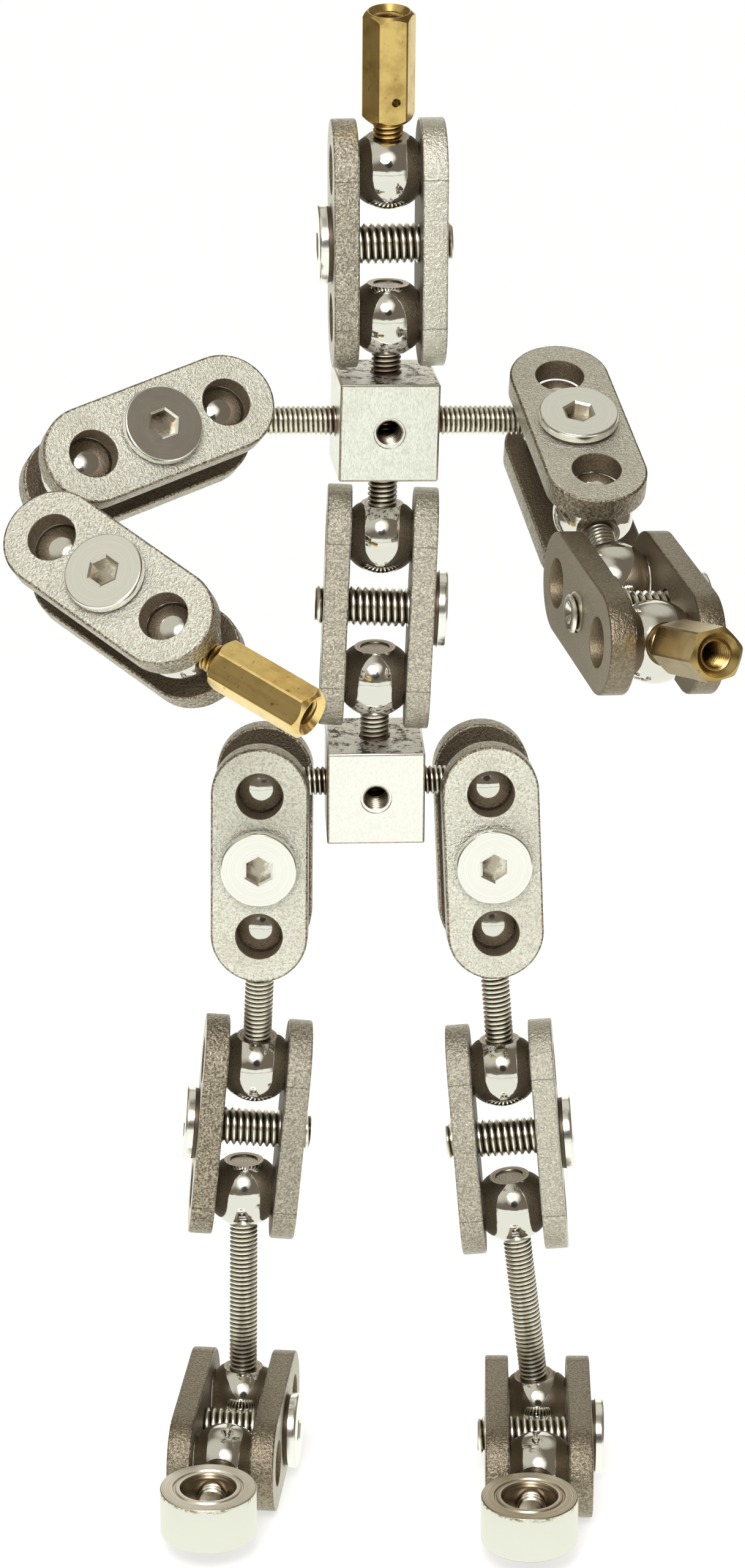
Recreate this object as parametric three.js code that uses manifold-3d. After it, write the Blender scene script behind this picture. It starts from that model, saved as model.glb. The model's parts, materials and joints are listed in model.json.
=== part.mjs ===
// A stop-motion ball and socket armature: a standing figure of sandwich links, steel balls,
// threaded studs, two drilled blocks, brass standoffs for the head and hands, and tie-down foot rings.
// Millimetres, +Z up. The figure faces -Y, so its own right side is at -X and its left side at +X.
// The origin is on the floor under the middle of the figure.
import * as THREE from "three";
import { mergeVertices } from "three/addons/utils/BufferGeometryUtils.js";
import Module from "manifold-3d";

const wasm = await Module();
wasm.setup();

// Balls and the seats that clamp them
const BALL_RADIUS = 4;
const BALL_FLAT_RADIUS = 2.1;
const SEAT_RADIUS = 2.7;
const SEAT_DEPTH = 0.35;
const BALL_HOLE_RADIUS = 2.38;
const SEAT_CLEARANCE = 0.12;

// Sandwich plates
const BALL_SPACING = 15;
const PLATE_WIDTH = 10;
const PLATE_THICKNESS = 2.5;

// M4 clamp screw with a flat head and a hexagon socket
const SCREW_RADIUS = 2;
const SCREW_HEAD_RADIUS = 3.95;
const SCREW_HEAD_HEIGHT = 1.3;
const SCREW_HEAD_BEVEL = 0.35;
const SCREW_TIP_PROUD = 0.8;
const SOCKET_ACROSS_FLATS = 2.5;
const SOCKET_DEPTH = 1.9;
const CLEAR_HOLE_CLEARANCE = 0.25;

// M3 studs, and what fits round a thread or lies face to face
const STUD_RADIUS = 1.5;
const STUD_END_BEVEL = 0.3;
const THREAD_CLEARANCE = 0.13;
const FACE_GAP = 0.05;

// Blocks of the pelvis and chest, drilled through along all three axes
const BLOCK_SIZE = 10;
const STUD_DEPTH_IN_BLOCK = 3;
const WAIST_STUD_DEPTH = 6.5;

// From a block's face to the middle of the ball that stands on it
const WAIST_REACH = 6.4;
const CHEST_REACH = 7;
const NECK_REACH = 5.7;
const SHOULDER_REACH = 12.4;
const HIP_REACH = 6.5;

// Ball to ball along the rods that have a ball on each end
const ELBOW_LENGTH = 10.5;
const THIGH_ROD_LENGTH = 17;
const SHIN_ROD_LENGTH = 24;

// Brass standoffs: a hexagon with an open tapped bore and a male end that screws into a ball
const HEX_ACROSS_FLATS = 4.7;
const HEX_LENGTH = 11.1;
const HEX_BEVEL = 0.3;
const HEX_BORE_RADIUS = 1.3;
const HEX_BORE_DEPTH = 7.5;
const MALE_END_LENGTH = 4.6;

// Tie-down rings in front of the toes
const RING_RADIUS = 5;
const RING_HEIGHT = 5;
const RING_BORE_RADIUS = 2.65;
const RING_BEVEL = 0.25;
const RING_MOUTH_BEVEL = 0.45;
const RING_REACH = 10.3;
const TOE_STUD_PROUD = 1.2;

// How finely round things are faceted
const ROUND_SIDES = 12;
const DISC_SIDES = 16;
const RING_SIDES = 20;
const BALL_RINGS = 6;
const PLATE_END_SEGMENTS = 5;

// The pose, in degrees. A link sits on a ball with a spin about the stud, a tilt of the stud out of
// the plates' plane, and a swing in that plane. A rod leaves a link with a swing and a tilt. A gap
// is how far a standoff's hexagon stands off its ball, in millimetres, as each was screwed in.
const POSE = {
  pelvis: { pitch: 3, roll: 0.4, yaw: 2.3 },
  waist: { swing: -6.6, tilt: 2.3, spin: -1.8 },
  spine: { swing: 3.5, tilt: -1.1 },
  chest: { spin: 5.2 },
  neck: { swing: 1.6, tilt: -1.5, spin: -1.4 },
  head: { swing: 7.5, tilt: -0.3, gap: 1.2 },
  right: {
    arm: { swing: 24.7, tilt: 11.3, spin: -55 },
    elbow: { swing: 55, tilt: 13.1 },
    forearm: { swing: 51.3, tilt: -9.1, spin: 32.9 },
    hand: { swing: 4.9, tilt: -2.7, gap: 0.8 },
    thigh: { swing: 89.4, tilt: -4.5, spin: -83.1 },
    thighRod: { swing: -2.5, tilt: -8.7 },
    knee: { swing: 1.9, tilt: 2.9, spin: 85.4 },
    shinRod: { swing: 5.9, tilt: -4.7 },
    footYaw: -5.7,
    toe: { swing: 0, tilt: -2.4 },
  },
  left: {
    arm: { swing: -82.6, tilt: 1.3, spin: -157.1 },
    elbow: { swing: -3.7, tilt: -0.4 },
    forearm: { swing: 18.9, tilt: -1.8, spin: 84.2 },
    hand: { swing: 18.2, tilt: -3.5, gap: 1.7 },
    thigh: { swing: -87.6, tilt: -2.3, spin: -96.7 },
    thighRod: { swing: 2.2, tilt: -0.8 },
    knee: { swing: 4.4, tilt: -0.5, spin: 96.4 },
    shinRod: { swing: -8.4, tilt: -1.8 },
    footYaw: -1.2,
    toe: { swing: 0, tilt: -6.2 },
  },
};

// Which way a side's studs point along X
const SIDES = { right: -1, left: 1 };

// Where the plates lie, worked out from the ball, its seat and the thickness
const PLATE_INNER = Math.sqrt((BALL_RADIUS + SEAT_CLEARANCE) ** 2 - SEAT_RADIUS ** 2);
const PLATE_OUTER = PLATE_INNER + PLATE_THICKNESS;
const BALL_FLAT_Z = Math.sqrt(BALL_RADIUS ** 2 - BALL_FLAT_RADIUS ** 2);
const STUD_BORE_RADIUS = STUD_RADIUS + THREAD_CLEARANCE;
const QUARTER_TURN = Math.PI / 2;

const degrees = THREE.MathUtils.degToRad;

// Finishes

const FINISHES = {
  plate: { color: 0xa59d93, roughness: 0.55, metalness: 1 },
  polished: { color: 0xc9c6c1, roughness: 0.08, metalness: 1 },
  screw: { color: 0xbdb9b3, roughness: 0.2, metalness: 1 },
  block: { color: 0xd6d2c8, roughness: 0.4, metalness: 1 },
  turned: { color: 0xb3aca2, roughness: 0.3, metalness: 1 },
  brass: { color: 0xc79a48, roughness: 0.25, metalness: 1 },
};

function piece(name, geometry, finish, parent) {
  const mesh = new THREE.Mesh(geometry, new THREE.MeshStandardMaterial(FINISHES[finish]));
  mesh.name = name;
  parent.add(mesh);
  return mesh;
}

// Geometry helpers

function turned(profile, sides) {
  const points = profile.map(([radius, z]) => new THREE.Vector2(radius, z));
  return new THREE.LatheGeometry(points, sides).rotateX(QUARTER_TURN);
}

function solid(geometry) {
  const bare = geometry.index ? geometry.toNonIndexed() : geometry.clone();
  bare.deleteAttribute("normal");
  bare.deleteAttribute("uv");
  const merged = mergeVertices(bare, 1e-4);
  const corners = merged.index.array;
  const kept = [];
  for (let i = 0; i < corners.length; i += 3) {
    const [a, b, c] = corners.slice(i, i + 3);
    if (a !== b && b !== c && c !== a) kept.push(a, b, c);
  }
  return new wasm.Manifold(
    new wasm.Mesh({
      numProp: 3,
      vertProperties: new Float32Array(merged.attributes.position.array),
      triVerts: new Uint32Array(kept),
    }),
  );
}

function surface(body) {
  const mesh = body.getMesh();
  const geometry = new THREE.BufferGeometry();
  geometry.setAttribute("position", new THREE.BufferAttribute(mesh.vertProperties, 3));
  geometry.setIndex(new THREE.BufferAttribute(mesh.triVerts, 1));
  return geometry;
}

function rod(radius, from, to, sides = ROUND_SIDES) {
  return turned([[0, from], [radius, from], [radius, to], [0, to]], sides);
}

function hexagon(acrossFlats, from, to, bevel = 0) {
  const radius = acrossFlats / Math.sqrt(3);
  return turned(
    [[0, from], [radius - bevel, from], [radius, from + bevel], [radius, to - bevel], [radius - bevel, to], [0, to]],
    6,
  );
}

// The side of a ball from the rim of its lower flat to the rim of its upper one
function ballSide(middle) {
  const start = Math.asin(BALL_FLAT_RADIUS / BALL_RADIUS);
  return Array.from({ length: BALL_RINGS }, (_, i) => {
    const angle = start + ((Math.PI - 2 * start) * i) / (BALL_RINGS - 1);
    return [BALL_RADIUS * Math.sin(angle), middle - BALL_RADIUS * Math.cos(angle)];
  });
}

// Turned pieces: balls, studs and rods, each with the middle of its first ball at z = 0

function ballOnStud(studLength) {
  return turned(
    [
      [0, -studLength],
      [STUD_RADIUS - STUD_END_BEVEL, -studLength],
      [STUD_RADIUS, STUD_END_BEVEL - studLength],
      [STUD_RADIUS, -BALL_FLAT_Z],
      ...ballSide(0),
      [0, BALL_FLAT_Z],
    ],
    ROUND_SIDES,
  );
}

function twoBallRod(length) {
  return turned(
    [
      [0, -BALL_FLAT_Z],
      ...ballSide(0),
      [STUD_RADIUS, BALL_FLAT_Z],
      [STUD_RADIUS, length - BALL_FLAT_Z],
      ...ballSide(length),
      [0, length + BALL_FLAT_Z],
    ],
    ROUND_SIDES,
  );
}

function drilledBall() {
  const side = ballSide(0);
  return turned(
    [[STUD_BORE_RADIUS, -BALL_FLAT_Z], ...side, [STUD_BORE_RADIUS, BALL_FLAT_Z], [STUD_BORE_RADIUS, -BALL_FLAT_Z]],
    ROUND_SIDES,
  );
}

// Plates: a stadium outline with two ball holes and the clamp screw's hole. The plate lies from
// z = 0 (inner face, with the ball seats) to z = thickness, with its length along X.
function platePattern(screwHoleRadius) {
  const half = BALL_SPACING / 2;
  const end = PLATE_WIDTH / 2;
  const outline = new THREE.Shape();
  outline.absarc(half, 0, end, -QUARTER_TURN, QUARTER_TURN, false);
  outline.absarc(-half, 0, end, QUARTER_TURN, 3 * QUARTER_TURN, false);
  const sheet = new THREE.ExtrudeGeometry(outline, {
    depth: PLATE_THICKNESS,
    bevelEnabled: false,
    curveSegments: PLATE_END_SEGMENTS,
  });
  const through = PLATE_THICKNESS + 1;
  const seatCutter = turned(
    [
      [0, -1],
      [SEAT_RADIUS, -1],
      [SEAT_RADIUS, 0],
      [BALL_HOLE_RADIUS, SEAT_DEPTH],
      [BALL_HOLE_RADIUS, through],
      [0, through],
    ],
    ROUND_SIDES,
  );
  let plate = solid(sheet).subtract(solid(rod(screwHoleRadius, -1, through)));
  for (const x of [-half, half]) {
    plate = plate.subtract(solid(seatCutter.clone().translate(x, 0, 0)));
  }
  // Stand the plate up: its length along Z and its inner face towards the middle of the link
  return surface(plate).rotateY(-QUARTER_TURN).rotateX(Math.PI).rotateY(Math.PI).translate(PLATE_INNER, 0, half);
}

const clearPlate = platePattern(SCREW_RADIUS + CLEAR_HOLE_CLEARANCE);
const tappedPlate = platePattern(SCREW_RADIUS + THREAD_CLEARANCE);

// The screw runs down from its head: the underside of the head is at z = 0
function clampScrew() {
  const length = 2 * PLATE_OUTER + FACE_GAP + SCREW_TIP_PROUD;
  const body = turned(
    [
      [0, -length],
      [SCREW_RADIUS - STUD_END_BEVEL, -length],
      [SCREW_RADIUS, STUD_END_BEVEL - length],
      [SCREW_RADIUS, 0],
      [SCREW_HEAD_RADIUS, 0],
      [SCREW_HEAD_RADIUS, SCREW_HEAD_HEIGHT - SCREW_HEAD_BEVEL],
      [SCREW_HEAD_RADIUS - SCREW_HEAD_BEVEL, SCREW_HEAD_HEIGHT],
      [0, SCREW_HEAD_HEIGHT],
    ],
    DISC_SIDES,
  );
  const socket = hexagon(SOCKET_ACROSS_FLATS, SCREW_HEAD_HEIGHT - SOCKET_DEPTH, SCREW_HEAD_HEIGHT + 1);
  return surface(solid(body).subtract(solid(socket)));
}

const screwGeometry = clampScrew();

// A block is drilled through its middle along X, Y and Z
function drilledBlock() {
  const reach = BLOCK_SIZE / 2 + 1;
  let block = solid(new THREE.BoxGeometry(BLOCK_SIZE, BLOCK_SIZE, BLOCK_SIZE));
  const drill = rod(STUD_BORE_RADIUS, -reach, reach);
  for (const turnedDrill of [drill.clone(), drill.clone().rotateX(QUARTER_TURN), drill.clone().rotateY(QUARTER_TURN)]) {
    block = block.subtract(solid(turnedDrill));
  }
  return surface(block);
}

const blockGeometry = drilledBlock();

// The hexagon stands on z = 0 with its male end below
function standoff() {
  const male = rod(STUD_RADIUS, -MALE_END_LENGTH, HEX_BEVEL);
  const bore = rod(HEX_BORE_RADIUS, HEX_LENGTH - HEX_BORE_DEPTH, HEX_LENGTH + 1);
  return surface(solid(hexagon(HEX_ACROSS_FLATS, 0, HEX_LENGTH, HEX_BEVEL)).add(solid(male)).subtract(solid(bore)));
}

const standoffGeometry = standoff();

// The ring's axis is Z and the stud comes in through its wall from +Y
function footRing() {
  const top = RING_HEIGHT / 2;
  const mouth = RING_BORE_RADIUS + RING_MOUTH_BEVEL;
  const ring = turned(
    [
      [RING_BORE_RADIUS, RING_MOUTH_BEVEL - top],
      [mouth, -top],
      [RING_RADIUS - RING_BEVEL, -top],
      [RING_RADIUS, RING_BEVEL - top],
      [RING_RADIUS, top - RING_BEVEL],
      [RING_RADIUS - RING_BEVEL, top],
      [mouth, top],
      [RING_BORE_RADIUS, top - RING_MOUTH_BEVEL],
      [RING_BORE_RADIUS, RING_MOUTH_BEVEL - top],
    ],
    RING_SIDES,
  );
  const hole = rod(STUD_BORE_RADIUS, 0, RING_RADIUS + 1).rotateX(-QUARTER_TURN);
  return surface(solid(ring).subtract(solid(hole)));
}

const ringGeometry = footRing();

// Links. A link's group has its origin in its first ball, Z along the link and X square to the plates.

function addPlates(name, link, headSide) {
  const clear = piece(`${name}_clear_plate`, clearPlate, "plate", link);
  const tapped = piece(`${name}_tapped_plate`, tappedPlate, "plate", link);
  const away = headSide > 0 ? tapped : clear;
  away.rotation.z = Math.PI;
  const screw = piece(`${name}_clamp_screw`, screwGeometry, "screw", link);
  screw.rotation.y = headSide * QUARTER_TURN;
  screw.position.set(headSide * (PLATE_OUTER + FACE_GAP), 0, BALL_SPACING / 2);
}

function addLinkOnStud(name, parent, z, pose, headSide = 1) {
  const link = new THREE.Group();
  link.name = name;
  link.position.z = z;
  link.rotation.set(degrees(pose.swing), degrees(pose.tilt), degrees(pose.spin), "ZYX");
  parent.add(link);
  addPlates(name, link, headSide);
  return link;
}

function addGroupInLink(name, link, pose) {
  const group = new THREE.Group();
  group.name = name;
  group.position.z = BALL_SPACING;
  group.rotation.set(degrees(pose.swing), degrees(pose.tilt), 0, "XYZ");
  link.add(group);
  return group;
}

// A ball on a stud that leaves a block sideways. The group's origin is the ball's middle, Z outwards.
function addSideStud(name, block, side, reach) {
  const group = new THREE.Group();
  group.name = name;
  group.position.x = side * (BLOCK_SIZE / 2 + reach);
  group.rotation.y = side * QUARTER_TURN;
  block.add(group);
  piece(`${name}_ball_stud`, ballOnStud(reach + STUD_DEPTH_IN_BLOCK), "polished", group);
  return group;
}

// A standoff screwed into a drilled ball at the end of a link
function addBallAndStandoff(name, link, pose) {
  const ball = addGroupInLink(`${name}_ball`, link, pose);
  piece(`${name}_ball`, drilledBall(), "polished", ball);
  const brass = new THREE.Group();
  brass.name = `${name}_standoff`;
  brass.position.z = BALL_RADIUS + pose.gap;
  ball.add(brass);
  piece(`${name}_standoff`, standoffGeometry, "brass", brass);
}

function addArm(side, chest) {
  const pose = POSE[side];
  const shoulder = addSideStud(`${side}_shoulder`, chest, SIDES[side], SHOULDER_REACH);
  const upper = addLinkOnStud(`${side}_upper_arm`, shoulder, 0, pose.arm);
  const elbow = addGroupInLink(`${side}_elbow`, upper, pose.elbow);
  piece(`${side}_elbow_rod`, twoBallRod(ELBOW_LENGTH), "polished", elbow);
  const headSide = side === "left" ? -1 : 1;
  const forearm = addLinkOnStud(`${side}_forearm`, elbow, ELBOW_LENGTH, pose.forearm, headSide);
  addBallAndStandoff(`${side}_hand`, forearm, pose.hand);
}

// The foot stands level on the floor, whatever the leg above it does
function levelFoot(foot, shin, yaw) {
  shin.updateWorldMatrix(true, false);
  const across = new THREE.Vector3(Math.cos(yaw), Math.sin(yaw), 0);
  const forward = new THREE.Vector3(Math.sin(yaw), -Math.cos(yaw), 0);
  const up = new THREE.Vector3(0, 0, 1);
  const level = new THREE.Quaternion().setFromRotationMatrix(new THREE.Matrix4().makeBasis(across, up, forward));
  foot.quaternion.copy(shin.getWorldQuaternion(new THREE.Quaternion()).invert().multiply(level));
}

function addLeg(side, pelvis) {
  const pose = POSE[side];
  const hip = addSideStud(`${side}_hip`, pelvis, SIDES[side], HIP_REACH);
  const thigh = addLinkOnStud(`${side}_thigh`, hip, 0, pose.thigh);
  const thighRod = addGroupInLink(`${side}_thigh_rod`, thigh, pose.thighRod);
  piece(`${side}_thigh_rod`, twoBallRod(THIGH_ROD_LENGTH), "polished", thighRod);
  const headSide = side === "left" ? -1 : 1;
  const knee = addLinkOnStud(`${side}_knee`, thighRod, THIGH_ROD_LENGTH, pose.knee, headSide);
  const shin = addGroupInLink(`${side}_shin_rod`, knee, pose.shinRod);
  piece(`${side}_shin_rod`, twoBallRod(SHIN_ROD_LENGTH), "polished", shin);

  const foot = new THREE.Group();
  foot.name = `${side}_foot`;
  foot.position.z = SHIN_ROD_LENGTH;
  shin.add(foot);
  levelFoot(foot, shin, degrees(pose.footYaw));
  addPlates(`${side}_foot`, foot, 1);

  const toe = addGroupInLink(`${side}_toe`, foot, pose.toe);
  const studLength = RING_REACH - RING_BORE_RADIUS + TOE_STUD_PROUD;
  const toeStud = piece(`${side}_toe_ball_stud`, ballOnStud(studLength), "polished", toe);
  toeStud.rotation.x = Math.PI;
  const ring = new THREE.Group();
  ring.name = `${side}_ring`;
  ring.position.z = RING_REACH;
  toe.add(ring);
  piece(`${side}_foot_ring`, ringGeometry, "turned", ring).rotation.x = -QUARTER_TURN;
}

// The figure, from the pelvis up and down

const figure = new THREE.Group();
const pelvis = new THREE.Group();
pelvis.name = "pelvis";
const { pitch, roll, yaw } = POSE.pelvis;
pelvis.rotation.set(degrees(pitch), degrees(roll), degrees(yaw), "ZYX");
figure.add(pelvis);
piece("pelvis_block", blockGeometry, "block", pelvis);

const waistStud = new THREE.Group();
waistStud.name = "waist_stud";
waistStud.position.z = BLOCK_SIZE / 2 + WAIST_REACH;
pelvis.add(waistStud);
piece("waist_ball_stud", ballOnStud(WAIST_REACH + WAIST_STUD_DEPTH), "polished", waistStud);

const waist = addLinkOnStud("waist", waistStud, 0, POSE.waist);
const spine = addGroupInLink("spine", waist, POSE.spine);
piece("spine_rod", twoBallRod(CHEST_REACH + BLOCK_SIZE + NECK_REACH), "polished", spine);

const chest = new THREE.Group();
chest.name = "chest";
chest.position.z = CHEST_REACH + BLOCK_SIZE / 2;
chest.rotation.z = degrees(POSE.chest.spin);
spine.add(chest);
piece("chest_block", blockGeometry, "block", chest);

const neck = addLinkOnStud("neck", chest, BLOCK_SIZE / 2 + NECK_REACH, POSE.neck, -1);
addBallAndStandoff("head", neck, POSE.head);

for (const side of ["right", "left"]) {
  addArm(side, chest);
  addLeg(side, pelvis);
}

// Stand the figure on the floor with the origin under the middle of it
figure.updateMatrixWorld(true);
const box = new THREE.Box3().setFromObject(figure, true);
const middle = box.getCenter(new THREE.Vector3());
figure.position.set(-middle.x, -middle.y, -box.min.z);

export default figure;
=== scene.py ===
"""A stop-motion ball and socket armature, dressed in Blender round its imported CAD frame.

Every size is in millimetres until a piece is put in its place, where it turns to metres. Each piece is
made on its own workbench, with its main axis along Z, and then goes where the frame's joints and boxes say.
"""

import json
import logging
import math
from dataclasses import dataclass, field
from enum import Enum
from typing import Callable, Iterable

import bmesh
import bpy
from bmesh.types import BMEdge, BMFace, BMVert
from mathutils import Matrix, Vector

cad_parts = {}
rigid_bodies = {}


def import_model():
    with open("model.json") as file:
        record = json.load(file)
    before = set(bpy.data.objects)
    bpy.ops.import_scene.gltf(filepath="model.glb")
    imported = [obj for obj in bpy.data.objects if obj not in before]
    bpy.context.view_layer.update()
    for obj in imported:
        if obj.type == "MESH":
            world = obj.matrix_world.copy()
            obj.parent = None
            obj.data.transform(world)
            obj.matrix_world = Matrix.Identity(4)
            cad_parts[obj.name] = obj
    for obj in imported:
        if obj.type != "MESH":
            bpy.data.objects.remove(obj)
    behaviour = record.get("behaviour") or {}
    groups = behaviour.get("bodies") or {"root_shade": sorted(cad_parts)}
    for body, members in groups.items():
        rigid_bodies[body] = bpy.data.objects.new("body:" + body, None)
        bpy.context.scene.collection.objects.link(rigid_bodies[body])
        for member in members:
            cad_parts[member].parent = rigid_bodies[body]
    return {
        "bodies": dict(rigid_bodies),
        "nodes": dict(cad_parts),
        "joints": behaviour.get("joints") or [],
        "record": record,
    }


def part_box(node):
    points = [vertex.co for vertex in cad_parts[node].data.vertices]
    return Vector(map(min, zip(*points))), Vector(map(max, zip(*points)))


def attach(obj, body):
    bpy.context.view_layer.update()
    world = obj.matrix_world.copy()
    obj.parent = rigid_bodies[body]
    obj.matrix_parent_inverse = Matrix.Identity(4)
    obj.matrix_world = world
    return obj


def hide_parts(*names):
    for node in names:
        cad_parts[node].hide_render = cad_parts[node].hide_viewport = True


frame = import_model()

LOG = logging.getLogger("armature")
MM = 0.001
Point = tuple[float, float]
Triple = tuple[float, float, float]
Colour = tuple[float, float, float, float]
Socket = bpy.types.NodeSocket


class Side(Enum):
    """The figure's own side."""

    RIGHT = "right"
    LEFT = "left"


class Slot(Enum):
    """The record's material slots."""

    PLATES = "plates"
    SCREWS = "clamp_screws"
    BALLS = "balls_and_studs"
    BLOCKS = "blocks"
    BRASS = "brass"
    RINGS = "rings"


class Hole(Enum):
    """The kinds of hole in a block."""

    THROUGH = "tapped right through"
    FILLED = "clear, where a stud fills it"
    OPEN = "tapped and empty"


class Plate(Enum):
    """The two plates of a link."""

    CLEAR = "clear_plate"
    TAPPED = "tapped_plate"


# Shader building


class Shading:
    """A node tree that is written as calls, each of which returns the output to carry on from."""

    def __init__(self, tree: bpy.types.NodeTree) -> None:
        """Empties the tree."""
        self.tree = tree
        tree.nodes.clear()

    def node(self, kind: str, inputs: dict | None = None, **settings: object) -> bpy.types.Node:
        """Adds a node.

        Args:
            kind: The node's type without its ShaderNode prefix.
            inputs: What each input gets, by name or number: a socket to link or a plain value.
            settings: The node's own options.

        Returns:
            The new node.
        """
        made = self.tree.nodes.new("ShaderNode" + kind)
        for name, value in settings.items():
            setattr(made, name, value)
        for key, value in (inputs or {}).items():
            if isinstance(value, Socket):
                self.tree.links.new(value, made.inputs[key])
            else:
                made.inputs[key].default_value = value
        return made

    def math(self, operation: str, first: object, second: object = 0.0) -> Socket:
        """Works out a new value from one or two others."""
        return self.node("Math", {0: first, 1: second}, operation=operation).outputs[0]

    def times(self, first: object, second: object) -> Socket:
        """Multiplies two values."""
        return self.math("MULTIPLY", first, second)

    def plus(self, first: object, second: object) -> Socket:
        """Adds two values."""
        return self.math("ADD", first, second)

    def minus(self, first: object, second: object) -> Socket:
        """Takes the second value from the first."""
        return self.math("SUBTRACT", first, second)

    def step(self, value: object, low: float, high: float) -> Socket:
        """Rises smoothly from 0 at low to 1 at high, or falls where low is the larger."""
        made = self.node(
            "MapRange",
            {"Value": value, "From Min": low, "From Max": high, "To Min": 0.0, "To Max": 1.0},
            interpolation_type="SMOOTHSTEP",
        )
        return made.outputs[0]

    def noise(self, place: object, scale: float, detail: float = 2.0, rough: float = 0.5) -> Socket:
        """Gives a noise value, about 0.5 on average."""
        made = self.node("TexNoise", {"Vector": place, "Scale": scale, "Detail": detail, "Roughness": rough})
        return made.outputs["Fac"]

    def blend(self, share: object, first: object, second: object) -> Socket:
        """Mixes two colours by a share from 0 to 1."""
        return self.node("Mix", {0: share, 6: first, 7: second}, data_type="RGBA").outputs[2]

    def stretch(self, place: object, scale: Triple) -> Socket:
        """Stretches a pattern's place along its axes."""
        return self.node("Mapping", {"Vector": place, "Scale": scale}).outputs[0]

    def place(self) -> Socket:
        """The object coordinates, in metres."""
        return self.node("TexCoord").outputs["Object"]

    def attribute(self, name: str, vector: bool = False) -> Socket:
        """One of the mesh's own attributes."""
        made = self.node("Attribute", attribute_name=name)
        return made.outputs["Vector" if vector else "Fac"]

    def bump(self, height: object, depth: float, strength: float, under: object | None = None) -> Socket:
        """Turns a height into a normal.

        Args:
            height: From 0 to 1.
            depth: The relief's depth in metres.
            strength: How much of it shows.
            under: A normal to add it to.

        Returns:
            The normal's socket.
        """
        inputs = {"Height": height, "Distance": depth, "Strength": strength}
        if under is not None:
            inputs["Normal"] = under
        return self.node("Bump", inputs).outputs[0]

    def end(self, kind: str, shader: bpy.types.Node) -> None:
        """Ends the tree in a shader, with the output node of this kind."""
        self.node(kind, {0: shader.outputs[0]})

    def metal(self, colour: object, roughness: object, normal: object) -> None:
        """Ends the tree in a metal surface."""
        inputs = {"Base Color": colour, "Roughness": roughness, "Metallic": 1.0, "Normal": normal}
        self.end("OutputMaterial", self.node("BsdfPrincipled", inputs))


def rgb(red: float, green: float, blue: float) -> Colour:
    """A colour as the nodes want it."""
    return (red, green, blue, 1.0)


@dataclass(frozen=True)
class Finish:
    """A surface finish. Its material is made once and shared."""

    name: str

    def material(self) -> bpy.types.Material:
        """Gets the finish's material, and makes it the first time."""
        found = bpy.data.materials.get(self.name)
        if found is None:
            found = bpy.data.materials.new(self.name)
            found.use_nodes = True
            self.shade(Shading(found.node_tree))
        return found

    def shade(self, tree: Shading) -> None:
        """Builds the node tree."""
        raise NotImplementedError


@dataclass(frozen=True)
class BlastedSteel(Finish):
    """The plates' faces: bead-blasted and pale, with a fine relief.

    Painted shade, set plate by plate, turns a plate brown and smooth.
    """

    pale: Colour = rgb(1.0, 1.0, 0.92)
    deep: Colour = rgb(0.66, 0.63, 0.53)
    pit: Colour = rgb(0.30, 0.255, 0.18)
    # brown is the colour of a plate's painted shade
    brown: Colour = rgb(0.27, 0.215, 0.145)
    grain: float = 4300.0
    roughness: float = 0.48
    relief: float = 0.0003

    def shade(self, tree: Shading) -> None:
        """Builds the node tree."""
        place = tree.place()
        painted_shade = tree.attribute("painted_shade")
        peel = tree.noise(place, self.grain, detail=3.0, rough=0.6)
        fine = tree.noise(place, self.grain * 2.3)
        cloud = tree.noise(place, 210.0)
        pits = tree.step(fine, 0.38, 0.27)
        colour = tree.blend(tree.step(peel, 0.28, 0.62), self.deep, self.pale)
        colour = tree.blend(tree.times(pits, 0.3), colour, self.pit)
        colour = tree.blend(tree.times(tree.step(cloud, 0.45, 0.75), 0.3), colour, self.deep)
        # Painted shade: brown, with the relief smoothed away
        colour = tree.blend(painted_shade, colour, self.brown)
        height = tree.plus(tree.times(fine, 0.3), tree.times(peel, 0.7))
        height = tree.times(height, tree.minus(1.0, painted_shade))
        rough = tree.plus(self.roughness, tree.times(pits, 0.2))
        tree.metal(colour, rough, tree.bump(height, self.relief, strength=0.9))


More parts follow.
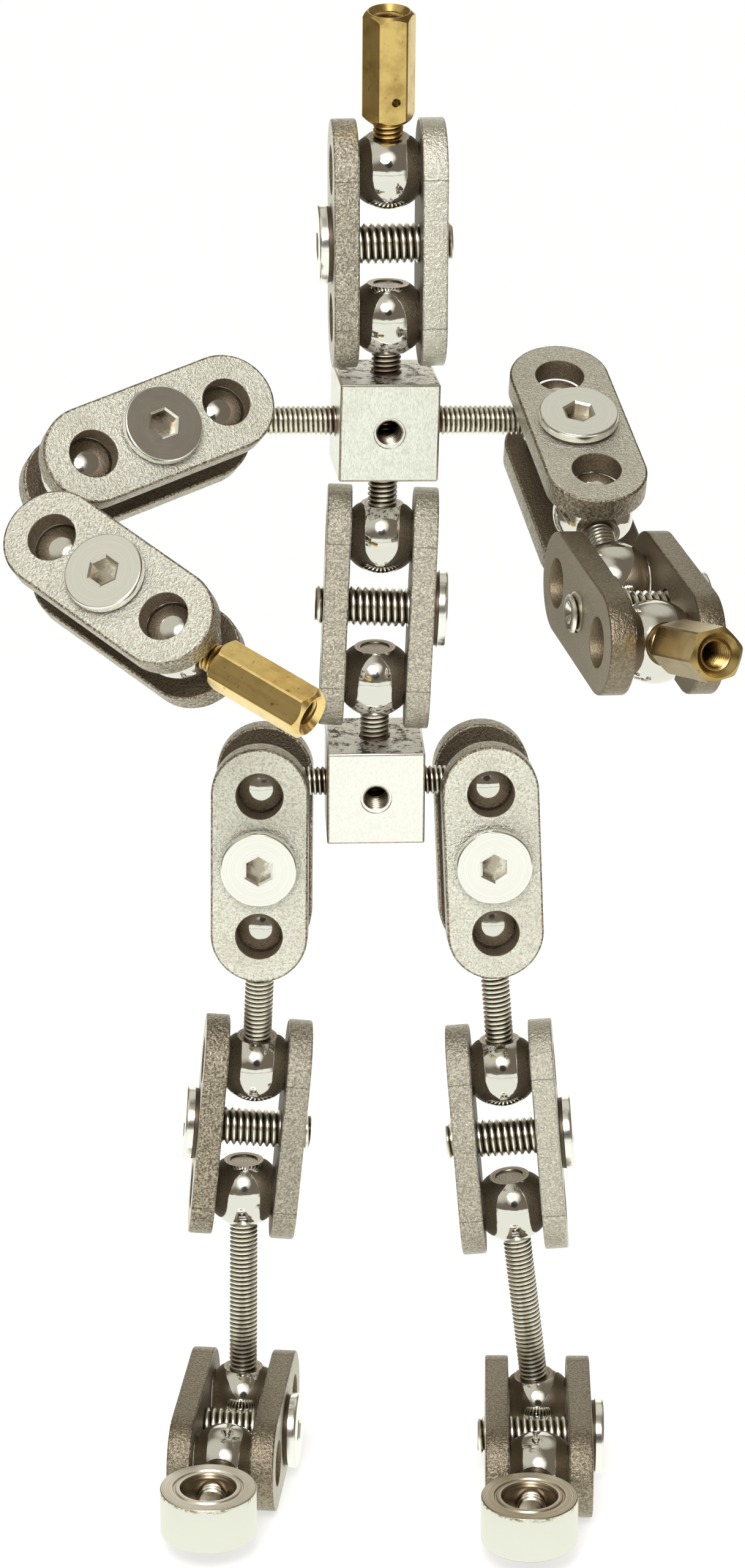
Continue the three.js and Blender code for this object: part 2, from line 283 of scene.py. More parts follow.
@dataclass(frozen=True)
class CastEdge(Finish):
    """The plates' edges: brown, grainy, with bright sparkles, and a tool mark where the round ends begin."""

    dark: Colour = rgb(0.15, 0.115, 0.08)
    light: Colour = rgb(0.65, 0.59, 0.475)
    # worn is the near-white of the painted light that pales the edges
    worn: Colour = rgb(0.94, 0.93, 0.85)
    # brown is the colour of a plate's painted shade on its edges
    brown: Colour = rgb(0.21, 0.17, 0.115)
    mark: Colour = rgb(0.10, 0.075, 0.05)
    grain: float = 4300.0
    end_at: float = 7.5
    wobble: float = 0.2
    roughness: float = 0.3
    relief: float = 0.00026

    def shade(self, tree: Shading) -> None:
        """Builds the node tree."""
        place = tree.place()
        fine = tree.noise(place, self.grain, detail=3.0, rough=0.65)
        coarse = tree.noise(place, self.grain * 0.36)
        along = tree.node("SeparateXYZ", {0: tree.attribute("bench", vector=True)}).outputs[1]
        reach = tree.plus(tree.math("ABSOLUTE", along), tree.times(coarse, self.wobble))
        off_mark = tree.math("ABSOLUTE", tree.minus(reach, self.end_at + self.wobble / 2))
        mark = tree.step(off_mark, 0.09, 0.03)
        colour = tree.blend(tree.step(fine, 0.34, 0.68), self.dark, self.light)
        colour = tree.blend(tree.times(tree.step(coarse, 0.45, 0.3), 0.4), colour, self.dark)
        # Painted light, set plate by plate, pales the edges
        colour = tree.blend(tree.attribute("edge_light"), colour, self.worn)
        # Painted shade, set plate by plate, turns the edges brown and smooths them
        painted_shade = tree.attribute("painted_shade")
        colour = tree.blend(painted_shade, colour, self.brown)
        colour = tree.blend(tree.times(mark, 0.55), colour, self.mark)
        height = tree.plus(tree.times(fine, 0.7), tree.times(coarse, 0.5))
        height = tree.times(height, tree.minus(1.0, tree.times(painted_shade, 0.6)))
        tree.metal(colour, self.roughness, tree.bump(height, self.relief, strength=0.9))


@dataclass(frozen=True)
class TurnedSteel(Finish):
    """Bright turned steel, with the tool's rings round the piece's own axis."""

    tint: Colour = rgb(0.94, 0.94, 0.915)
    shadow: Colour = rgb(0.86, 0.86, 0.82)
    roughness: float = 0.13
    pitch: float = 0.09
    depth: float = 0.000002
    worn_edge: float = 0.0
    chip: Colour = rgb(0.30, 0.24, 0.165)

    def shade(self, tree: Shading) -> None:
        """Builds the node tree."""
        own = tree.attribute("bench", vector=True)
        x, y, z = tree.node("SeparateXYZ", {0: own}).outputs
        radius = tree.math("SQRT", tree.plus(tree.times(x, x), tree.times(y, y)))
        rings = tree.math("SINE", tree.times(radius, 2.0 * math.pi / self.pitch))
        uneven = tree.noise(tree.node("CombineXYZ", {0: radius}).outputs[0], 6.0, detail=3.0, rough=0.7)
        smudge = tree.noise(tree.place(), 900.0, detail=3.0, rough=0.6)
        colour = tree.blend(tree.step(uneven, 0.35, 0.7), self.shadow, self.tint)
        colour = tree.blend(tree.times(tree.step(smudge, 0.62, 0.75), 0.4), colour, self.shadow)
        if self.worn_edge:
            near = tree.step(z, self.worn_edge - 0.55, self.worn_edge - 0.15)
            flakes = tree.noise(tree.stretch(own, (1.0, 1.0, 2.0)), 1.1, detail=4.0, rough=0.75)
            chips = tree.step(flakes, 0.50, 0.56)
            colour = tree.blend(tree.times(near, chips), colour, self.chip)
        rough = tree.plus(self.roughness, tree.times(smudge, 0.1))
        height = tree.plus(tree.times(rings, 0.5), uneven)
        tree.metal(colour, rough, tree.bump(height, self.depth, strength=0.6))


@dataclass(frozen=True)
class PolishedSteel(Finish):
    """The balls: a mirror with a slightly uneven polish."""

    tint: Colour = rgb(0.73, 0.72, 0.685)
    roughness: float = 0.05
    wave: float = 0.00003
    scratch: float = 0.0000014

    def shade(self, tree: Shading) -> None:
        """Builds the node tree."""
        place = tree.place()
        smear = tree.noise(place, 420.0, detail=3.0, rough=0.6)
        scratch = tree.noise(tree.stretch(place, (1.0, 1.0, 9.0)), 1500.0, detail=2.0, rough=0.7)
        wave = tree.noise(place, 750.0)
        rough = tree.plus(self.roughness, tree.times(tree.step(smear, 0.45, 0.75), 0.12))
        waved = tree.bump(wave, self.wave, strength=1.0)
        normal = tree.bump(scratch, self.scratch, strength=0.35, under=waved)
        tree.metal(self.tint, rough, normal)


@dataclass(frozen=True)
class ThreadedSteel(Finish):
    """Cut threads: painted shade in the roots, a painted highlight on the crests, and a red-brown trace of
    thread lock.
    """

    # root is painted shade for the thread's roots and crest is a painted highlight for its crests
    root_shade: Colour = rgb(0.10, 0.075, 0.05)
    flank: Colour = rgb(0.47, 0.425, 0.34)
    crest: Colour = rgb(0.96, 0.95, 0.88)
    lock: Colour = rgb(0.14, 0.065, 0.03)
    roughness: float = 0.3
    relief: float = 0.000015

    def shade(self, tree: Shading) -> None:
        """Builds the node tree."""
        crest = tree.attribute("crest")
        stain = tree.attribute("stain")
        grain = tree.noise(tree.place(), 3600.0, detail=3.0, rough=0.6)
        rise = tree.plus(crest, tree.times(tree.minus(grain, 0.5), 0.5))
        # Painted shade in the roots and a painted highlight on the crests, laid by each point's height on
        # the thread
        colour = tree.blend(tree.step(rise, 0.05, 0.45), self.root_shade, self.flank)
        colour = tree.blend(tree.step(rise, 0.5, 0.85), colour, self.crest)
        colour = tree.blend(tree.times(stain, 0.85), colour, self.lock)
        tree.metal(colour, self.roughness, tree.bump(grain, self.relief, strength=0.5))


@dataclass(frozen=True)
class MilledSteel(Finish):
    """The blocks: milled pale faces with a fine grain up the block, worn and scratched."""

    pale: Colour = rgb(0.96, 0.965, 0.93)
    deep: Colour = rgb(0.87, 0.87, 0.82)
    scars: float = 0.0
    scar: Colour = rgb(0.10, 0.07, 0.04)
    roughness: float = 0.24
    relief: float = 0.000008

    def shade(self, tree: Shading) -> None:
        """Builds the node tree."""
        own = tree.attribute("bench", vector=True)
        grain = tree.noise(tree.stretch(own, (1.0, 1.0, 0.4)), 8.5, detail=3.0, rough=0.65)
        patch = tree.noise(own, 0.7, detail=3.0, rough=0.6)
        scratch = tree.noise(tree.stretch(own, (0.25, 2.6, 1.0)), 3.2, detail=3.0, rough=0.7)
        colour = tree.blend(tree.step(grain, 0.28, 0.62), self.deep, self.pale)
        colour = tree.blend(tree.times(tree.step(patch, 0.5, 0.8), 0.35), colour, self.deep)
        height = tree.plus(grain, tree.times(scratch, 0.6))
        rough = tree.plus(self.roughness, tree.times(patch, 0.16))
        normal = tree.bump(height, self.relief, strength=0.5)
        if self.scars:
            burr = tree.noise(own, 0.6, detail=5.0, rough=0.78)
            colour = tree.blend(tree.step(burr, 0.495, 0.42), colour, self.scar)
            normal = tree.bump(burr, self.scars, strength=0.9, under=normal)
        tree.metal(colour, rough, normal)


@dataclass(frozen=True)
class Brass(Finish):
    """The standoffs: golden drawn brass with brown clouds, and a drilled dimple with painted shade on its
    floor.
    """

    gold: Colour = rgb(0.68, 0.50, 0.19)
    brown: Colour = rgb(0.42, 0.28, 0.09)
    dimple: Triple | None = None
    dimple_radius: float = 0.46
    dimple_depth: float = 0.0004
    dimple_shade: Colour = rgb(0.07, 0.035, 0.01)
    spot: Colour = rgb(0.24, 0.13, 0.04)
    roughness: float = 0.17
    relief: float = 0.000005

    def shade(self, tree: Shading) -> None:
        """Builds the node tree."""
        own = tree.attribute("bench", vector=True)
        place = tree.place()
        cloud = tree.noise(place, 380.0, detail=3.0, rough=0.6)
        drawn = tree.noise(tree.stretch(own, (1.0, 1.0, 0.03)), 3.0)
        spots = tree.noise(place, 1500.0)
        colour = tree.blend(tree.step(cloud, 0.42, 0.78), self.gold, self.brown)
        colour = tree.blend(tree.times(tree.step(spots, 0.66, 0.74), 0.6), colour, self.spot)
        rough = tree.plus(self.roughness, tree.times(drawn, 0.16))
        normal = tree.bump(drawn, self.relief, strength=0.35)
        if self.dimple is not None:
            away = tree.node("VectorMath", {0: own, 1: self.dimple}, operation="DISTANCE").outputs["Value"]
            depth = tree.step(away, self.dimple_radius, self.dimple_radius * 0.55)
            # Painted shade on the dimple's floor
            colour = tree.blend(depth, colour, self.dimple_shade)
            normal = tree.bump(depth, -self.dimple_depth, strength=1.0, under=normal)
        tree.metal(colour, rough, normal)


PLATE_FACE = BlastedSteel("blasted_plate_face")
# Painted shade on the plates' inner faces, which face each other across the gap
SHADED_PLATE_INNER = BlastedSteel(
    "shaded_inner_face", rgb(0.19, 0.155, 0.115), rgb(0.12, 0.09, 0.065), rgb(0.05, 0.04, 0.03)
)
# Painted shade on the walls of the plates' holes
SHADED_HOLE_WALL = BlastedSteel(
    "shaded_bored_wall", rgb(0.28, 0.225, 0.165), rgb(0.16, 0.12, 0.085), rgb(0.07, 0.05, 0.035)
)
PLATE_EDGE = CastEdge("cast_plate_edge")
HEAD_STEEL = TurnedSteel("turned_screw_head")
# Painted shade down the walls of the hexagon sockets
SHADED_SOCKET_WALL = TurnedSteel("shaded_socket_wall", rgb(0.74, 0.70, 0.61), rgb(0.55, 0.50, 0.41), 0.3)
# Painted shade under the screws' heads
SHADED_HEAD_UNDER = TurnedSteel("shaded_screw_underside", rgb(0.15, 0.12, 0.085), rgb(0.08, 0.06, 0.04), 0.35)
# Painted shade in the balls' bores and a painted dark reflection on their flats
SHADED_FLAT_STEEL = TurnedSteel(
    "shaded_ball_flat", rgb(0.48, 0.43, 0.36), rgb(0.18, 0.145, 0.11), 0.2, pitch=0.12, depth=0.000008
)
RING_STEEL = TurnedSteel(
    "turned_ring", rgb(0.85, 0.86, 0.80), rgb(0.76, 0.76, 0.69), 0.28,
    pitch=0.16, depth=0.000003, worn_edge=2.5,
)
# Shaded and lit copies of the rings' turned end faces: painted light, one copy for each ring
SHADED_RING_TOP = TurnedSteel(
    "shaded_ring_end", rgb(0.84, 0.78, 0.66), rgb(0.42, 0.345, 0.245), 0.28, pitch=0.2, depth=0.00001
)
LIT_RING_TOP = TurnedSteel(
    "lit_ring_end", rgb(1.0, 0.98, 0.91), rgb(0.78, 0.72, 0.60), 0.28, pitch=0.2, depth=0.00001
)
# Painted shade in the rings' bores, and a painted contact shadow along their bottom edges
SHADED_RING_BORE = TurnedSteel(
    "shaded_ring_bore", rgb(0.42, 0.34, 0.24), rgb(0.20, 0.15, 0.10), 0.3, pitch=0.2, depth=0.00001
)
BALL_STEEL = PolishedSteel("polished_ball")
THREAD_STEEL = ThreadedSteel("cut_thread")
# A lit copy of the cut thread: painted light for the shoulder studs
LIT_THREAD = ThreadedSteel("lit_cut_thread", rgb(0.17, 0.14, 0.10), rgb(0.78, 0.74, 0.64))
BLOCK_STEEL = MilledSteel("milled_block")
CHEST_STEEL = MilledSteel("grained_chest_block", rgb(0.90, 0.91, 0.86), rgb(0.66, 0.66, 0.60))
# Painted shade on the blocks' rounded edges that don't face up
SHADED_BLOCK_EDGE = MilledSteel("shaded_block_edge", rgb(0.52, 0.47, 0.38), rgb(0.28, 0.235, 0.17))
BLOCK_END = MilledSteel("scarred_block_end", rgb(1.0, 0.99, 0.95), rgb(0.90, 0.87, 0.79), scars=0.0006)
# Lit and shaded copies of the brass: painted light, one copy for each hand
LIT_BRASS = Brass("lit_brass", rgb(0.94, 0.71, 0.30), rgb(0.70, 0.49, 0.18))
SHADED_BRASS = Brass("shaded_brass", rgb(0.45, 0.325, 0.125), rgb(0.26, 0.175, 0.06))
DIMPLED_BRASS = Brass("dimpled_brass", dimple=(0.931, 2.153, 2.5))
BRASS_THREAD = ThreadedSteel(
    "brass_thread", rgb(0.16, 0.085, 0.025), rgb(0.55, 0.38, 0.13), rgb(0.90, 0.72, 0.36)
)


# The workbench


# How near points are, in millimetres, where they count as one: in a turned profile, between the turns of a
# thread, on a cut and in a finished piece, and then the shortest edge that a finished piece keeps
PROFILE_SEAM = 0.0005
TURN_SEAM = 0.002
CUT_SEAM = 0.00001
PIECE_SEAM = 0.0008
SLIVER = 0.0004
# The slack with which faces and points are told apart by their place, in millimetres
NEAR = 0.001


@dataclass(frozen=True)
class Thread:
    """A metric thread: its radii and pitch.

    Its crest lies between two shares of a pitch. It is wound past each end by some spare turns and trimmed.
    """

    major: float
    minor: float
    pitch: float
    crest: Point = (0.39, 0.61)
    spare_turns: float = 1.3
    steps: int = 26


M3 = Thread(1.5, 1.19, 0.5)
M4 = Thread(2.0, 1.57, 0.7)


def quarter(steps: int) -> list[float]:
    """The angles of a quarter turn, in radians."""
    return [math.radians(90.0 * i / steps) for i in range(steps + 1)]


def arc(centre: Point, radius: float, start: float, end: float, steps: int) -> list[Point]:
    """Points on an arc of a turned profile, from one angle to another, in degrees from the radius axis."""
    turns = (math.radians(start + (end - start) * i / steps) for i in range(steps + 1))
    return [(centre[0] + radius * math.cos(a), centre[1] + radius * math.sin(a)) for a in turns]


def put_in_scene(name: str, data: bpy.types.ID) -> bpy.types.Object:
    """Makes an object and puts it in the scene."""
    made = bpy.data.objects.new(name, data)
    bpy.context.scene.collection.objects.link(made)
    return made


class Workpiece:
    """One piece in the making: a bmesh in millimetres, with a thread's height and stain on its points."""

    def __init__(self, *finishes: Finish) -> None:
        """Takes an empty bench and the piece's finishes, the main one first."""
        self.finishes = finishes
        self.bm = bmesh.new()
        self.crest = self.bm.verts.layers.float.new("crest")
        self.stain = self.bm.verts.layers.float.new("stain")

    def loop(self, radius: float, z: float, sides: int, reach: float = 0.0) -> list[BMVert]:
        """Adds a circle, or two half circles drawn apart along Y.

        Args:
            radius: Of the round ends.
            z: The loop's height.
            sides: How many corners.
            reach: How far each half moves.

        Returns:
            The new points.
        """
        turn = Matrix.Rotation(math.pi / sides, 4, "Z")
        circle = bmesh.ops.create_circle(self.bm, cap_ends=False, radius=radius, segments=sides, matrix=turn)
        made = circle["verts"]
        for vert in made:
            vert.co.y += math.copysign(reach, vert.co.y)
            vert.co.z = z
        return made

    def edges_of(self, verts: Iterable[BMVert]) -> list[BMEdge]:
        """The edges that join these points to each other."""
        chosen = set(verts)
        found = {edge for vert in chosen for edge in vert.link_edges if edge.other_vert(vert) in chosen}
        return sorted(found, key=lambda edge: edge.index)

    def newer(self, before: set[BMVert]) -> list[BMVert]:
        """The points that weren't there before."""
        return [vert for vert in self.bm.verts if vert not in before]

    def geometry(self, verts: list[BMVert]) -> list[BMVert | BMEdge | BMFace]:
        """The points with their edges and faces."""
        return verts + self.edges_of(verts) + list({face for vert in verts for face in vert.link_faces})

    def dress(self, faces: Iterable[BMFace], finish: Finish | None = None, rounded: bool = False) -> None:
        """Gives faces one of the piece's finishes.

        Args:
            faces: The faces.
            finish: The finish, or none for the piece's main one.
            rounded: Whether they are shaded smooth from now on.
        """
        number = self.finishes.index(finish) if finish else 0
        for face in faces:
            face.material_index = number
            face.smooth = face.smooth or rounded

    def skin(self, loops: list[list[BMVert]], finish: Finish | None = None) -> list[BMFace]:
        """Joins loops one after another with smooth walls."""
        faces: list[BMFace] = []
        for lower, upper in zip(loops, loops[1:]):
            edges = self.edges_of(lower) + self.edges_of(upper)
            faces += bmesh.ops.bridge_loops(self.bm, edges=edges)["faces"]
        self.dress(faces, finish, rounded=True)
        return faces

    def fill(self, loops: list[list[BMVert]], finish: Finish | None = None) -> None:
        """Fills the flat between an outline and the holes in it."""
        edges = [edge for loop in loops for edge in self.edges_of(loop)]
        made = bmesh.ops.triangle_fill(self.bm, use_beauty=True, use_dissolve=False, edges=edges)["geom"]
        self.dress([face for face in made if isinstance(face, BMFace)], finish)

    def lathe(self, profile: list[Point], sides: int, closed: bool = False) -> list[BMFace]:
        """Turns a profile of radii and heights round Z.

        Args:
            profile: The points, from the axis or back to the first one where closed.
            sides: How many facets round.
            closed: Whether the last point joins the first.

        Returns:
            The new faces.
        """
        verts = [self.bm.verts.new((radius, 0.0, z)) for radius, z in profile]
        pairs = list(zip(verts, verts[1:])) + ([(verts[-1], verts[0])] if closed else [])
        edges = [self.bm.edges.new(pair) for pair in pairs]
        before = set(self.bm.faces)
        bmesh.ops.spin(
            self.bm, geom=verts + edges, cent=(0, 0, 0), axis=(0, 0, 1), dvec=(0, 0, 0),
            angle=2 * math.pi, steps=sides, use_merge=True, use_duplicate=False,
        )
        points = {vert for face in self.bm.faces if face not in before for vert in face.verts}
        bmesh.ops.remove_doubles(self.bm, verts=list(points), dist=PROFILE_SEAM)
        faces = [face for face in self.bm.faces if face not in before]
        self.dress(faces, rounded=True)
        return faces

    def thread(
        self, cut: Thread, low: float, high: float, finish: Finish, chamfer: float = 0.0
    ) -> list[list[BMVert]]:
        """Winds a thread's surface round Z and trims it square.

        Args:
            cut: The thread.
            low: Where it starts.
            high: Where it ends.
            finish: Its finish.
            chamfer: How much its top end is turned down.

        Returns:
            The points of its lower and its upper rim.
        """
        bm, pitch = self.bm, cut.pitch
        before = set(bm.verts)
        minor, major, (rise, fall) = cut.minor, cut.major, cut.crest
        section = [(minor, 0.0, 0.0), (major, rise, 1.0), (major, fall, 1.0), (minor, 1.0, 0.0)]
        verts = []
        for radius, share, crest in section:
            vert = bm.verts.new((radius, 0.0, low + (share - cut.spare_turns) * pitch))
            vert[self.crest] = crest
            verts.append(vert)
        edges = [bm.edges.new(pair) for pair in zip(verts, verts[1:])]
        bmesh.ops.spin(
            bm, geom=verts + edges, cent=(0, 0, 0), axis=(0, 0, 1), dvec=(0, 0, pitch / cut.steps),
            angle=2 * math.pi, steps=cut.steps, use_merge=False, use_duplicate=False,
        )
        winding = self.geometry(self.newer(before))
        for count in range(1, math.ceil((high - low) / pitch + 2 * cut.spare_turns)):
            copied = bmesh.ops.duplicate(bm, geom=winding)["geom"]
            points = [element for element in copied if isinstance(element, BMVert)]
            bmesh.ops.translate(bm, verts=points, vec=(0, 0, pitch * count))
        bmesh.ops.remove_doubles(bm, verts=self.newer(before), dist=TURN_SEAM)
        for height, outward in ((low, -1), (high, 1)):
            bmesh.ops.bisect_plane(
                bm, geom=self.geometry(self.newer(before)), dist=CUT_SEAM,
                plane_co=(0, 0, height), plane_no=(0, 0, outward), clear_outer=True, clear_inner=False,
            )
        made = self.newer(before)
        for vert in made:
            radius = math.hypot(vert.co.x, vert.co.y)
            limit = cut.major - (vert.co.z - (high - chamfer))
            if chamfer and radius > limit:
                vert.co.x *= limit / radius
                vert.co.y *= limit / radius
        self.dress({face for vert in made for face in vert.link_faces}, finish, rounded=True)
        return [[vert for vert in made if abs(vert.co.z - height) < PROFILE_SEAM] for height in (low, high)]

    def bolt(self, cut: Thread, low: float, high: float, finish: Finish, chamfer: float = 0.0) -> None:
        """A threaded rod with flat ends."""
        for rim in self.thread(cut, low, high, finish, chamfer):
            self.fill([rim], finish)

    def move(self, verts: Iterable[BMVert], matrix: Matrix) -> None:
        """Moves points by a matrix."""
        bmesh.ops.transform(self.bm, matrix=matrix, verts=list(verts))

    def stain_by(self, share: Callable[[float], float]) -> None:
        """Stains what is made so far with thread lock, by its height on the bench."""
        for vert in self.bm.verts:
            vert[self.stain] = max(0.0, min(1.0, share(vert.co.z)))

    def finish_mesh(
        self, name: str, place: Matrix, sharp: float, traits: dict[str, float]
    ) -> bpy.types.Object:
        """Puts the piece in its place and makes its object.

        Args:
            name: The piece's name.
            place: From the bench to the frame, in millimetres.
            sharp: The angle past which an edge is a crease, in degrees.
            traits: What its finishes read of this piece alone, such as how worn its edges are.

        Returns:
            The object, at the origin, with its place in its mesh.
        """
        bm = self.bm
        bmesh.ops.remove_doubles(bm, verts=bm.verts[:], dist=PIECE_SEAM)
        bmesh.ops.dissolve_degenerate(bm, dist=SLIVER, edges=bm.edges[:])
        bmesh.ops.recalc_face_normals(bm, faces=bm.faces[:])
        bench = bm.verts.layers.float_vector.new("bench")
        layers = {bm.verts.layers.float.new(trait): value for trait, value in traits.items()}
        for vert in bm.verts:
            vert[bench] = vert.co
            for layer, value in layers.items():
                vert[layer] = value
        for edge in bm.edges:
            faces = edge.link_faces
            flat = len(faces) == 2 and faces[0].smooth != faces[1].smooth
            edge.smooth = not flat and (len(faces) != 2 or edge.calc_face_angle(0.0) < math.radians(sharp))
        for face in bm.faces:
            face.smooth = True
        bmesh.ops.transform(bm, matrix=Matrix.Scale(MM, 4) @ place, verts=bm.verts[:])
        mesh = bpy.data.meshes.new(name)
        bm.to_mesh(mesh)
        bm.free()
        for finish in self.finishes:
            mesh.materials.append(finish.material())
        return put_in_scene(name, mesh)


# Where the frame puts things


def at(vector: Iterable[float]) -> Vector:
    """A point of the frame in millimetres."""
    return Vector(vector) / MM


class Layout:
    """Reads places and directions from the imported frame."""

    def __init__(self, packed: dict) -> None:
        """Keeps the joints by name."""
        self.joints = {row["name"]: row for row in packed["joints"]}

    def joint(self, name: str) -> Vector:
        """A joint's place."""
        return at(self.joints[name]["pos_m"])

    def middle(self, node: str) -> Vector:
        """The middle of a node's box."""
        low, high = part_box(node)
        return at((low + high) / 2)

    def basis(self, origin: Vector, up: Vector, across: Vector) -> Matrix:
        """A bench to frame matrix.

        Args:
            origin: Where the bench's origin goes.
            up: Where its Z points.
            across: Roughly where its X points.

        Returns:
            The matrix, in millimetres.
        """
        z = up.normalized()
        x = (across - z * across.dot(z)).normalized()
        y = z.cross(x)
        turn = Matrix((x, y, z)).transposed().to_4x4()
        return Matrix.Translation(origin) @ turn


LAYOUT = Layout(frame)


@dataclass
class Part:
    """A sub-assembly: it builds its pieces, and hands each one to the frame."""

    made: list[bpy.types.Object] = field(default_factory=list, init=False)

    def hand_over(
        self, work: Workpiece, node: str, place: Matrix, body: str, slot: Slot,
        sharp: float = 28.0, traits: dict[str, float] | None = None,
    ) -> None:
        """Finishes a piece, ties it to its body and its node, and logs how it fits.

        Args:
            work: The piece in the making.
            node: The CAD node that it replaces.
            place: From the bench to the frame, in millimetres.
            body: The CAD body that carries it.
            slot: Not used.
            sharp: The angle past which an edge is a crease, in degrees.
            traits: What its finishes read of this piece alone.
        """
        piece = work.finish_mesh(node + "_fine", place, sharp, traits or {})
        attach(piece, body)
        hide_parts(node)
        low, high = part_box(node)
        points = [vert.co for vert in piece.data.vertices]
        least = Vector([min(point[axis] for point in points) for axis in range(3)])
        most = Vector([max(point[axis] for point in points) for axis in range(3)])
        off = max(max(abs(a) for a in least - low), max(abs(a) for a in most - high)) / MM
        count = len(piece.data.polygons)
        LOG.info("%s: %d faces, box within %.2f mm of the CAD node's", piece.name, count, off)
        self.made.append(piece)


@dataclass
class BallStock(Part):
    """What the balls and the threads that carry them have in common."""

    radius: float = 4.0
    flat_radius: float = 2.1
    sides: int = 56
    rings: int = 34
    bore: float = 1.42
    bore_bevel: float = 0.1
    recess: float = 0.16
    rim_bevel: float = 0.05
    thread_inside: float = 0.3

    @property
    def flat_height(self) -> float:
        """How far each flat is from the middle."""
        return math.sqrt(self.radius**2 - self.flat_radius**2)

    def end(self, middle: float, up: bool, open_end: bool) -> list[Point]:
        """A flat's profile, from the axis out to its rim, or the other way round where it is the upper one.

        Args:
            middle: The ball's height.
            up: Whether it is the upper flat.
            open_end: Whether the thread's end is seen down in a bore.

        Returns:
            The profile's points.
        """
        z = self.flat_height
        rim = (self.flat_radius - self.rim_bevel, z)
        if open_end:
            points = [
                (0.0, z - self.recess), (self.bore, z - self.recess), (self.bore, z - self.bore_bevel),
                (self.bore + self.bore_bevel, z), rim,
            ]
        else:
            points = [(0.0, z), rim]
        sign = 1 if up else -1
        placed = [(radius, middle + sign * height) for radius, height in points]
        return placed[::-1] if up else placed

    def turn_ball(self, work: Workpiece, middle: float, lower_open: bool, upper_open: bool) -> None:
        """Turns a ball with a flat on each end round Z."""
        tilt = math.degrees(math.asin(self.flat_height / self.radius))
        side = arc((0.0, middle), self.radius, -tilt, tilt, self.rings)
        profile = self.end(middle, False, lower_open) + side + self.end(middle, True, upper_open)
        low = self.flat_height - self.recess - NEAR

        def is_flat(face: BMFace) -> bool:
            """Whether a face lies within one of the flats."""
            return all(
                abs(vert.co.z - middle) > low and math.hypot(*vert.co.xy) < self.flat_radius
                for vert in face.verts
            )

        # The flats and their bores get painted shade and a painted dark reflection
        work.dress(filter(is_flat, work.lathe(profile, self.sides)), SHADED_FLAT_STEEL)


@dataclass
class OneBallStud(BallStock):
    """A ball on a stud that is screwed into a block or a ring. Z runs from the stud's end to the ball."""

    node: str = ""
    body: str = ""
    ball_at: Vector = field(default_factory=Vector)
    foot_at: Vector = field(default_factory=Vector)
    length: float = 10.0
    block_half: float = 5.0
    chamfer: float = 0.3
    stain_length: float = 1.3
    steel: ThreadedSteel = THREAD_STEEL
    across: Vector = field(default_factory=lambda: Vector((0.3, 0.2, 1.0)))

    def build(self) -> None:
        """Makes the stud."""
        work = Workpiece(BALL_STEEL, self.steel, SHADED_FLAT_STEEL)
        work.bolt(M3, self.flat_height - self.thread_inside, self.length, self.steel, self.chamfer)
        reach = (self.ball_at - self.foot_at).length - self.block_half
        work.stain_by(lambda z: 1.0 - (reach - z) / self.stain_length if self.stain_length else 0.0)
        work.move(work.bm.verts[:], Matrix.Rotation(math.pi, 4, "X"))
        self.turn_ball(work, 0.0, False, True)
        up = self.ball_at - self.foot_at
        place = LAYOUT.basis(self.ball_at, up, self.across)
        self.hand_over(work, self.node, place, self.body, Slot.BALLS)


@dataclass
class TwoBallRod(BallStock):
    """A rod with a ball on each end. Z runs from its first ball to its second."""

    node: str = ""
    body: str = ""
    first: Vector = field(default_factory=Vector)
    second: Vector = field(default_factory=Vector)
    block_at: float = 0.0
    block_half: float = 5.0
    stain_length: float = 2.4
    across: Vector = field(default_factory=lambda: Vector((0.3, 1.0, 0.2)))

    def build(self) -> None:
        """Makes the rod."""
        length = (self.second - self.first).length
        work = Workpiece(BALL_STEEL, THREAD_STEEL, SHADED_FLAT_STEEL)
        start = self.flat_height - self.thread_inside
        work.bolt(M3, start, length - start, THREAD_STEEL)
        if self.block_at:
            work.stain_by(lambda z: 1.0 - (abs(z - self.block_at) - self.block_half) / self.stain_length)
        self.turn_ball(work, 0.0, True, False)
        self.turn_ball(work, length, False, True)
        place = LAYOUT.basis(self.first, self.second - self.first, self.across)
        self.hand_over(work, self.node, place, self.body, Slot.BALLS)


